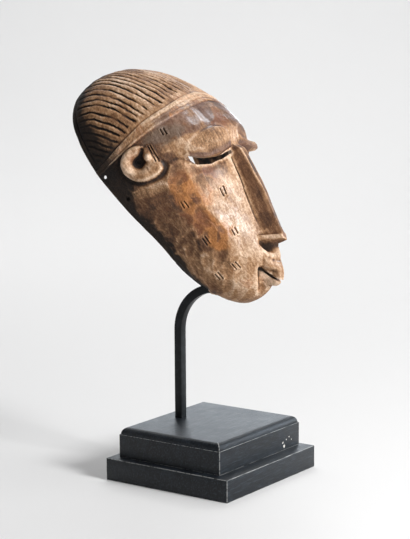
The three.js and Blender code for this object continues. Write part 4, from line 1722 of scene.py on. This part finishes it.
    def outer(self) -> Object:
        """The closed outer body, before anything is cut from it.

        Returns:
            The body.
        """
        rows, columns = self.sheet.places.shape
        bm = bmesh.new()
        bmesh.ops.create_grid(bm, x_segments=columns - 1, y_segments=rows - 1, size=1)
        at_layer = bm.verts.layers.float.new("at")
        side_layer = bm.verts.layers.float.new("side")
        for vert in bm.verts:
            column = round((vert.co.x + 1) / 2 * (columns - 1))
            row = round((vert.co.y + 1) / 2 * (rows - 1))
            vert[at_layer] = self.sheet.places[row, column]
            vert[side_layer] = self.sheet.sides[column]
        at, side = self.layers(bm, at_layer, side_layer)
        away = self.cuts.away(self.form, self.form.place(at, side)[0])
        near = {v for v, d in zip(bm.verts, away) if d < self.scar_near}
        edges = [e for e in bm.edges if e.verts[0] in near and e.verts[1] in near]
        bmesh.ops.subdivide_edges(bm, edges=edges, cuts=1, use_grid_fill=True)
        at, side = self.layers(bm, at_layer, side_layer)
        self.surface = self.carve(at, side)
        for vert, point in zip(bm.verts, to_world(self.surface.carved)):
            vert.co = point
        self.flatten(bm)
        close(bm)
        return mesh_object("mask_carved", bm)

    @staticmethod
    def layers(
        bm: BMesh, first: bmesh.types.BMLayerItem, second: bmesh.types.BMLayerItem
    ) -> tuple[Array, Array]:
        """Values of two vertex layers."""
        pairs = np.array([(v[first], v[second]) for v in bm.verts])
        return pairs[:, 0], pairs[:, 1]

    @staticmethod
    def flatten(bm: BMesh) -> None:
        """Moves the open border square onto the rim's plane."""
        for vert in [v for v in bm.verts if v.is_boundary]:
            vert.co -= RIM_OUT * (vert.co - Vector(RIM_FOOT) * MM).dot(RIM_OUT)

    def cavity(self) -> Object:
        """The body of the hollow, gouged by hand, with a skirt past the rim.

        Returns:
            The cutter.
        """
        inner = self.form.hollow()
        columns, rows = self.hollow_grid
        bm = bmesh.new()
        bmesh.ops.create_grid(bm, x_segments=columns, y_segments=rows, size=1)
        grid = np.array([v.co[:2] for v in bm.verts])
        side = np.sign(grid[:, 0]) * np.abs(grid[:, 0]) ** self.hollow_crowd
        at = (grid[:, 1] + 1) / 2 * self.form.last
        plain = inner.place(at, side)[0]
        normal = inner.normal(at, side)
        lumps = Noise(self.seed + 9).rough(plain, 30, 3)
        rough = -self.hollow_marks.scoops(plain)[0] * 0.9 + 0.5 * lumps
        rough = np.clip(rough, -1.6, 1.2) * ramp(plain[:, 2], 0, 5)
        points = plain + normal * rough[:, None]
        for vert, point in zip(bm.verts, to_world(points)):
            vert.co = point
        self.flatten(bm)
        skirt = bmesh.ops.extrude_edge_only(bm, edges=[e for e in bm.edges if e.is_boundary])
        bmesh.ops.translate(bm, vec=-RIM_OUT * self.skirt * MM, verts=of_kind(skirt, BMVert))
        close(bm)
        return mesh_object("mask_hollow", bm)

    def slit(self, sign: int) -> Object:
        """The body of one eye slit, under the lid's edge and wider inside.

        Args:
            sign: -1 for the near side, 1 for the far one.

        Returns:
            The cutter.
        """
        steps = self.slit_steps
        t = np.linspace(self.slit_lower[0][0], self.slit_lower[-1][0], steps + 1)
        low = along(self.slit_lower, t)
        high = along(self.slit_upper, t)
        noise = Noise(self.seed + 7)
        low = low + 0.02 * noise(np.stack([t * 100, 0 * t, 0 * t + sign], -1), 3.0)
        high = np.maximum(high, low + 0.02)
        at = np.concatenate([low, high])
        side = np.concatenate([t, t]) * sign
        plain, normal = self.form.place(at, side)[0], self.form.normal(at, side)
        plain = plain - np.array([0, 0, self.face.socket_depth])
        least, start, end = self.slit_slant_share
        share = (least + (1 - least) * ramp(np.abs(side), start, end))[:, None]
        slant = np.array(self.slit_slant) * (sign, 1, 1)
        normal = normal * (1 - share) + slant * share
        normal /= np.linalg.norm(normal, axis=1, keepdims=True)
        centre = plain.mean(0)
        front = plain + normal * self.slit_outward
        back = centre + (plain - centre) * self.slit_spread - normal * self.slit_inward
        bm = bmesh.new()
        bmesh.ops.create_grid(bm, x_segments=steps, y_segments=1, size=1)
        order = []
        for vert in bm.verts:
            column = round((vert.co.x + 1) / 2 * steps)
            order.append(column + (steps + 1) * (vert.co.y > 0))
        for vert, place in zip(bm.verts, order):
            vert.co = to_world(front[place])
        first = list(bm.verts)
        made = bmesh.ops.extrude_face_region(bm, geom=bm.faces[:], use_keep_orig=True)
        moved = of_kind(made, BMVert)
        tree = nearest([vert.co for vert in first])
        targets = [order[tree.find(vert.co)[1]] for vert in moved]
        for vert, place in zip(moved, targets):
            vert.co = to_world(back[place])
        bmesh.ops.recalc_face_normals(bm, faces=bm.faces[:])
        return mesh_object(f"eye_slit_{sign}", bm)

    def bore(self, centre: Array, axis: Array, radius: Pair, length: float, stretch: float = 1) -> Object:
        """A tapered round or oval cutter.

        Args:
            centre: Middle of the cutter in the mask's own millimetres.
            axis: Its direction, in the same frame.
            radius: Radii of its start and end.
            length: Length.
            stretch: How much longer than wide its section is.

        Returns:
            The cutter.
        """
        bm = bmesh.new()
        bmesh.ops.create_cone(
            bm, cap_ends=True, segments=20, radius1=radius[0] * MM, radius2=radius[1] * MM, depth=length * MM
        )
        bmesh.ops.scale(bm, vec=(1, stretch, 1), verts=bm.verts[:])
        world = to_world(np.stack([centre, centre + axis]))
        direction = Vector(world[1] - world[0]).normalized()
        turn = Vector((0, 0, 1)).rotation_difference(direction).to_matrix().to_4x4()
        bmesh.ops.transform(bm, matrix=Matrix.Translation(world[0]) @ turn, verts=bm.verts[:])
        return mesh_object("bore", bm)

    def openings(self) -> list[Object]:
        """Cutters of the hollow, the eye slits, the ear holes and the tying holes.

        Returns:
            The cutters, in the order in which they are used.
        """
        tools = [self.cavity(), self.slit(-1), self.slit(1)]
        for sign in (-1, 1):
            centre, axes = self.ear.frame(self.form, sign)
            hole = centre + np.array(self.ear.hole_at) @ axes
            tools.append(self.bore(hole, -axes[2], self.ear.hole_radius, self.ear.hole_length, self.ear.hole_stretch))
        plain = self.surface.plain
        for sign, up, out, slant in self.tying_holes:
            off = np.hypot(plain[:, 1] - up, plain[:, 2] - out) + np.where(plain[:, 0] * sign < 0, 1000, 0)
            axis = np.array([sign, 0, 0]) * (1 - slant) + np.array(self.slit_slant) * (sign, 1, 1) * slant
            radius = self.tying_radius - self.tying_slant_less * slant
            tools.append(self.bore(plain[off.argmin()], axis, (radius, radius), self.tying_length))
        return tools

    def paint(self, piece: Object) -> None:
        """Writes where the wood is polished pale, sooty, orange, raised, glossy and grey, and where shade and highlight
        are painted.

        Args:
            piece: The mask with all its openings.
        """
        points = get_points(piece)
        tree = nearest(to_world(self.surface.carved))
        found = [tree.find(p) for p in points]
        here = self.surface.pick(np.array([f[1] for f in found]))
        inside = ramp(np.array([f[2] for f in found]) / MM, 0.7, 2.2)
        ridge = self.relief_share(piece, points)
        layer = self.patina.channels(here, inside)
        soot = layer["soot"]
        # Around and inside each tying hole the wood is painted dark and its relief share lowered, as painted shade in
        # the hole.
        for sign, up, out, _ in self.tying_holes:
            lip = (1 - ramp(np.hypot(here.up - up, here.out - out), *self.tying_lip)) * (here.plain[:, 0] * sign > 0)
            ridge, soot = ridge + (0.3 - ridge) * lip, soot + 0.6 * lip
        self.write(piece, "wear", layer["worn"], soot, layer["orange"])
        self.write(piece, "stain", ridge, layer["gloss"], layer["grey"])
        self.write(piece, "marks", here.tone, layer["plum"], layer["scratched"])

    @staticmethod
    def relief_share(piece: Object, points: Array) -> Array:
        """How far each vertex stands over its neighbourhood: 0 in a crease, 1 on an edge.

        Args:
            piece: The piece.
            points: Places of its vertices.

        Returns:
            Shares, 0.5 on even ground.
        """
        mesh = piece.data
        edges = np.zeros(len(mesh.edges) * 2, np.int64)
        mesh.edges.foreach_get("vertices", edges)
        edges = edges.reshape(-1, 2)
        normals = np.zeros(len(points) * 3, np.float32)
        mesh.vertices.foreach_get("normal", normals)
        normals = normals.reshape(-1, 3)
        count = np.bincount(edges.ravel(), minlength=len(points))[:, None]
        mean = points.copy()
        for _ in range(5):
            total = np.zeros_like(mean)
            for axis in range(3):
                total[:, axis] = np.bincount(edges[:, 0], mean[edges[:, 1], axis], len(points))
                total[:, axis] += np.bincount(edges[:, 1], mean[edges[:, 0], axis], len(points))
            mean = 0.4 * mean + 0.6 * total / np.maximum(count, 1)
        stand = ((points - mean) * normals).sum(1) / MM
        return np.clip(0.5 + 0.75 * stand, 0, 1)

    @staticmethod
    def write(piece: Object, name: str, *channels: Array) -> None:
        """Stores three channels as an attribute of the vertices.

        Args:
            piece: The piece.
            name: Name of the attribute.
            channels: Up to three channels, one number for each vertex.
        """
        layer = piece.data.color_attributes.new(name, "FLOAT_COLOR", "POINT")
        colours = np.ones((len(piece.data.vertices), 4), np.float32)
        for k, channel in enumerate(channels):
            colours[:, k] = np.clip(channel, 0, 1.5)
        layer.data.foreach_set("color", colours.ravel())

    def build(self) -> Object:
        """Makes and dresses the mask.

        Returns:
            The finished piece.
        """
        piece = self.outer()
        for tool in self.openings():
            cut_out(piece, tool)
        bm = bmesh.new()
        bm.from_mesh(piece.data)
        bmesh.ops.triangulate(bm, faces=[f for f in bm.faces if len(f.verts) > 4])
        bm.to_mesh(piece.data)
        bm.free()
        smooth(piece, self.crisp)
        self.paint(piece)
        dress(piece, "mask", OldWood().material())
        return piece


@dataclass
class Stand:
    """The plinth's two steps, the bent bar and the plate behind the chin."""

    edge: float = 0.7
    narrow: float = 1.1
    gap: float = 0.3
    crisp: float = 30
    side: float = 26.8
    ledge: float = 1.4
    ledge_rise: float = 0.8
    quarter: float = 7
    quarter_steps: int = 12
    chips: tuple[Four, ...] = (
        (52, -67.2, 31, 2.2), (49.5, -67.2, 35.5, 1.3), (57, -67.2, 38, 0.9), (63, -67.2, 40, 1.0),
        (68, -67.2, 36, 0.8), (84.9, -40, 33, 1.2),
    )
    bar_edge: float = 0.8
    bend_radius: float = 53.5
    bend_steps: int = 32
    run_height: float = 220.5
    run_length: float = 25
    bar_behind_rim: float = 4.6
    plate_inset: float = 0.6
    plate_tuck: float = 4.5
    plate_height: float = 50
    plate_corner: float = 45
    plate_thickness: float = 4
    plate_edge: float = 0.5
    plate_points: int = 49

    def rub(self, piece: Object) -> None:
        """Marks the narrow faces along the edges, where the paint is thin and where the edges get a painted highlight.

        Args:
            piece: The piece.
        """
        layer = piece.data.color_attributes.new("edge", "FLOAT_COLOR", "CORNER")
        for face in piece.data.polygons:
            reach = max((piece.data.vertices[v].co - face.center).length for v in face.vertices)
            narrow = face.area < self.narrow * MM * reach
            for loop in face.loop_indices:
                layer.data[loop].color = (float(narrow), 0, 0, 1)

    def board(self) -> Object:
        """The plain lower board, its edges just broken.

        Returns:
            The piece.
        """
        low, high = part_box("plinth_lower_board")
        bm = bmesh.new()
        bmesh.ops.create_cube(bm, size=1)
        bmesh.ops.scale(bm, vec=high - low, verts=bm.verts[:])
        bmesh.ops.translate(bm, vec=(low + high) / 2, verts=bm.verts[:])
        round_off(bm, bm.edges[:], self.edge)
        return mesh_object("lower_board", bm)

    def profile(self) -> list[Pair]:
        """The block's moulded side as pairs of (inset, height), from the foot to the top.

        Returns:
            The pairs, in millimetres.
        """
        top = self.side + self.ledge * self.ledge_rise
        points = [(0, 0.4), (0, self.side - 0.25), (0.35, self.side + 0.1), (self.ledge, top)]
        for k in range(1, self.quarter_steps + 1):
            angle = math.pi / 2 * k / self.quarter_steps
            points.append((self.ledge + self.quarter * (1 - math.cos(angle)), top + self.quarter * math.sin(angle)))
        return points

    def block(self) -> Object:
        """The upper block with its small ledge and quarter round.

        Returns:
            The piece.
        """
        low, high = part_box("plinth_upper_block")
        span = high - low
        middle = Vector(((low.x + high.x) / 2, (low.y + high.y) / 2, 0))
        bm = bmesh.new()
        bmesh.ops.create_grid(bm, x_segments=1, y_segments=1, size=0.5)
        bmesh.ops.scale(bm, vec=(span.x, span.y, 1), verts=bm.verts[:])
        bmesh.ops.translate(bm, vec=(middle.x, middle.y, low.z), verts=bm.verts[:])
        round_off(bm, bm.verts[:], self.edge, affect="VERTICES")
        top = bm.faces[:]
        last_inset, last_height = 0.0, 0.0
        for inset, height in self.profile():
            made = bmesh.ops.extrude_face_region(bm, geom=top)
            top, verts = of_kind(made, BMFace), of_kind(made, BMVert)
            shrink = [(side / 2 - inset * MM) / (side / 2 - last_inset * MM) for side in span.xy]
            bmesh.ops.scale(bm, vec=(*shrink, 1), verts=verts, space=Matrix.Translation(-middle))
            bmesh.ops.translate(bm, vec=(0, 0, (height - last_height) * MM), verts=verts)
            last_inset, last_height = inset, height
        close(bm)
        piece = mesh_object("upper_block", bm)
        # Known fault: every step above leaves its cap inside, so this cut is refused and the block has no socket.
        cut_out(piece, self.socket(high.z))
        return piece

    def socket(self, top: float) -> Object:
        """Cutter of the square hole that the bar stands in.

        Args:
            top: Height of the block's top.

        Returns:
            The cutter.
        """
        low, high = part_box("support_bar")
        hole = (high.x - low.x) + 2 * self.gap * MM
        foot = low.z - self.gap * MM
        depth = top + 0.01 - foot
        bm = bmesh.new()
        bmesh.ops.create_cube(bm, size=1)
        bmesh.ops.scale(bm, vec=(hole, hole, depth), verts=bm.verts[:])
        bmesh.ops.translate(bm, vec=(0, high.y - hole / 2 + self.gap * MM, foot + depth / 2), verts=bm.verts[:])
        return mesh_object("socket", bm)

    def bar(self) -> Object:
        """The square bar: upright, one bend forward, and cut off along the plate.

        Returns:
            The piece.
        """
        low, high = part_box("support_bar")
        width = high.x - low.x
        centre_y = high.y - width / 2
        bend_y = centre_y - self.bend_radius * MM
        bend_z = (self.run_height - self.bend_radius) * MM
        bm = bmesh.new()
        bmesh.ops.create_grid(bm, x_segments=1, y_segments=1, size=width / 2)
        bmesh.ops.translate(bm, vec=(0, centre_y, low.z), verts=bm.verts[:])
        round_off(bm, bm.verts[:], self.bar_edge, affect="VERTICES")
        made = bmesh.ops.extrude_face_region(bm, geom=bm.faces[:], use_keep_orig=True)
        bmesh.ops.translate(bm, vec=(0, 0, bend_z - low.z), verts=of_kind(made, BMVert))
        turn = Matrix.Rotation(math.pi / 2 / self.bend_steps, 3, "X")
        # Known fault: these steps leave their caps inside the bar.
        for _ in range(self.bend_steps):
            made = bmesh.ops.extrude_face_region(bm, geom=of_kind(made, BMFace))
            verts = of_kind(made, BMVert)
            bmesh.ops.rotate(bm, cent=(0, bend_y, bend_z), matrix=turn, verts=verts)
        made = bmesh.ops.extrude_face_region(bm, geom=of_kind(made, BMFace))
        bmesh.ops.translate(bm, vec=(0, -self.run_length * MM, 0), verts=of_kind(made, BMVert))
        close(bm)
        plane = Vector(RIM_FOOT) * MM - RIM_OUT * self.bar_behind_rim * MM
        bmesh.ops.bisect_plane(
            bm, geom=bm.verts[:] + bm.edges[:] + bm.faces[:], plane_co=plane, plane_no=RIM_OUT, clear_outer=True
        )
        close(bm)
        return mesh_object("bent_bar", bm)

    def plate(self, form: Form) -> Object:
        """The thin plate along the inner side of the chin's rim.

        Args:
            form: The plain form of the mask.

        Returns:
            The piece.
        """
        side = np.linspace(-1, 1, self.plate_points)
        outline = form.place(0 * side, side)[0][:, :2]
        corner, top = self.plate_corner, self.plate_height
        outline = np.vstack([[-corner, top], outline, [corner, top]])
        inward = np.array([0, top]) - outline
        length = np.linalg.norm(inward, axis=1, keepdims=True)
        tuck = self.plate_inset + self.plate_tuck * np.clip(np.abs(outline[:, :1]) / corner, 0, 1) ** 3
        outline = outline + inward / length * tuck
        outline[[0, -1], 1] = top
        low = np.column_stack([outline, np.full(len(outline), -self.gap)])
        bm = bmesh.new()
        face = bm.faces.new([bm.verts.new(p) for p in to_world(low)])
        made = bmesh.ops.extrude_face_region(bm, geom=[face], use_keep_orig=True)
        bmesh.ops.translate(bm, vec=-RIM_OUT * self.plate_thickness * MM, verts=of_kind(made, BMVert))
        bmesh.ops.recalc_face_normals(bm, faces=bm.faces[:])
        rims = [e for e in bm.edges if any(len(f.verts) > 4 for f in e.link_faces)]
        round_off(bm, rims, self.plate_edge, segments=2)
        return mesh_object("chin_plate", bm)

    def build(self, form: Form) -> None:
        """Makes and dresses every piece of the stand.

        Args:
            form: The plain form of the mask, whose rim the plate follows.
        """
        low_paint = BlackPaint().material("black_board")
        top_paint = BlackPaint(chips=self.chips).material("black_block")
        iron = BlackIron().material()
        for piece, node, slot, finish in (
            (self.board(), "plinth_lower_board", "black_wood", low_paint),
            (self.block(), "plinth_upper_block", "black_wood", top_paint),
            (self.bar(), "support_bar", "black_steel", iron),
            (self.plate(form), "support_plate", "black_steel", iron),
        ):
            self.rub(piece)
            smooth(piece, self.crisp)
            dress(piece, node, finish)


@dataclass(frozen=True)
class Lamp:
    """A square area light.

    Its place and the point that it looks at are metres along the camera's right, back and up directions, size
    is its side in metres and power is in watts. A lamp that is only a sheen adds nothing to matt surfaces.
    """

    name: str
    where: Triple
    size: float
    power: float
    aim: Triple = (0, 0, 0.28)
    sheen: bool = False


@dataclass(frozen=True)
class Studio:
    """Pale sweep, soft lights and the camera."""

    focal_pixels: float = 1685
    frame: tuple[int, int] = (410, 539)
    azimuth: float = -0.95458
    elevation: float = 0.156336
    roll: float = -0.00563
    eye: Triple = (-1567.0, -1101.6, 543.6)
    sensor: float = 36
    far_clip: float = 50
    floor_radius: float = 2.2
    floor_steps: int = 20
    floor_turns: int = 64
    floor_tone: tuple[int, int, int] = (224, 224, 224)
    sweep: float = 3.2
    wall: float = 4.5
    sheen_tint: Triple = (0.8, 0.9, 1)
    air_tint: Colour = (0.93, 0.95, 1, 1)
    air_strength: float = 0.06
    lamps: tuple[Lamp, ...] = (
        Lamp("key", (1.5, 1.2, 1.15), 0.6, 57),
        Lamp("overhead", (0.6, -0.2, 2.4), 1.4, 13),
        Lamp("behind", (0.2, -2.4, 2.8), 2.4, 78, (0, -2.9, 0)),
        Lamp("back_fill", (-1.6, -1.9, 1.5), 1.6, 6),
        Lamp("side_sheen", (2.6, -1.0, 0.6), 2.4, 70, sheen=True),
        Lamp("top_sheen", (0.2, -3.0, 0.75), 1.6, 16, sheen=True),
        Lamp("cheek_sheen", (0.65, 1.3, 0.95), 0.36, 9, (0, 0, 0.38), True),
        Lamp("brow_sheen", (0.63, -0.4, 2.06), 0.36, 6, (0, 0, 0.42), True),
    )

    def axes(self) -> tuple[Vector, Vector, Vector]:
        """The camera's right, up and back directions.

        Returns:
            The three unit vectors.
        """
        a, e = self.azimuth, self.elevation
        right = Vector((math.cos(a), math.sin(a), 0))
        back = Vector((math.sin(a) * math.cos(e), -math.cos(a) * math.cos(e), math.sin(e)))
        up = back.cross(right)
        turned = right * math.cos(self.roll) + up * math.sin(self.roll)
        return turned, up * math.cos(self.roll) - right * math.sin(self.roll), back

    def camera(self) -> None:
        """Sets the camera where the photograph was taken from."""
        data = bpy.data.cameras.new("camera")
        data.sensor_width = self.sensor
        data.sensor_fit = "AUTO"
        data.lens = self.focal_pixels * self.sensor / max(self.frame)
        data.clip_end = self.far_clip
        camera = bpy.data.objects.new("camera", data)
        right, up, back = self.axes()
        place = Matrix((right, up, back)).transposed().to_4x4()
        place.translation = Vector(self.eye) * MM
        camera.matrix_world = place
        bpy.context.scene.collection.objects.link(camera)
        bpy.context.scene.camera = camera

    def floor(self) -> None:
        """A round pale floor that sweeps up into a wall far from the object."""
        bm = bmesh.new()
        profile = [(0.0, 0.0), (self.floor_radius, 0.0)]
        for k in range(1, self.floor_steps + 1):
            angle = math.pi / 2 * k / self.floor_steps
            reach = self.floor_radius + self.sweep * math.sin(angle)
            profile.append((reach, self.sweep * (1 - math.cos(angle))))
        profile.append((self.floor_radius + self.sweep, self.wall))
        verts = [bm.verts.new((reach, 0, height)) for reach, height in profile]
        edges = [bm.edges.new(pair) for pair in zip(verts, verts[1:])]
        bmesh.ops.spin(
            bm, geom=verts + edges, cent=(0, 0, 0), axis=(0, 0, 1), angle=2 * math.pi, steps=self.floor_turns,
            use_merge=True,
        )
        bmesh.ops.remove_doubles(bm, verts=bm.verts[:], dist=1e-5)
        bmesh.ops.recalc_face_normals(bm, faces=bm.faces[:])
        floor = mesh_object("floor", bm)
        smooth(floor, 60)
        net = Net("pale_floor")
        matt = net.finish(Base_Color=srgb(*self.floor_tone), Roughness=1.0, Specular_IOR_Level=0.0)
        floor.data.materials.append(matt)
        floor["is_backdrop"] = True

    def light(self, lamp: Lamp) -> None:
        """Adds one lamp.

        Args:
            lamp: The lamp.
        """
        right, _, back = self.axes()
        level = Vector((back.x, back.y, 0)).normalized()
        data = bpy.data.lights.new(lamp.name, "AREA")
        data.shape = "SQUARE"
        data.size = lamp.size
        data.energy = lamp.power
        data.color = self.sheen_tint if lamp.sheen else (1, 1, 1)
        light = bpy.data.objects.new(lamp.name, data)
        place, target = (right * x + level * y + Vector((0, 0, z)) for x, y, z in (lamp.where, lamp.aim))
        light.rotation_euler = (target - place).to_track_quat("-Z", "Y").to_euler()
        light.location = place
        light.visible_diffuse = not lamp.sheen
        light.visible_camera = False
        bpy.context.scene.collection.objects.link(light)

    def build(self) -> None:
        """Places the camera, the floor and the lights."""
        self.camera()
        self.floor()
        for lamp in self.lamps:
            self.light(lamp)
        world = bpy.data.worlds.new("studio")
        world.use_nodes = True
        background = world.node_tree.nodes["Background"]
        background.inputs["Color"].default_value = self.air_tint
        background.inputs["Strength"].default_value = self.air_strength
        bpy.context.scene.world = world
        bpy.context.scene.view_settings.view_transform = "Standard"


def main() -> tuple[Vector, Vector]:
    """Builds the scene.

    Returns:
        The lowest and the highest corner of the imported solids.
    """
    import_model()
    solid_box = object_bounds()
    Studio().build()
    mask = Mask()
    mask.build()
    Stand().build(mask.form)
    return solid_box


if __name__ == "__main__":
    logging.basicConfig(level=logging.INFO, format="%(name)s %(message)s")
    before = main()
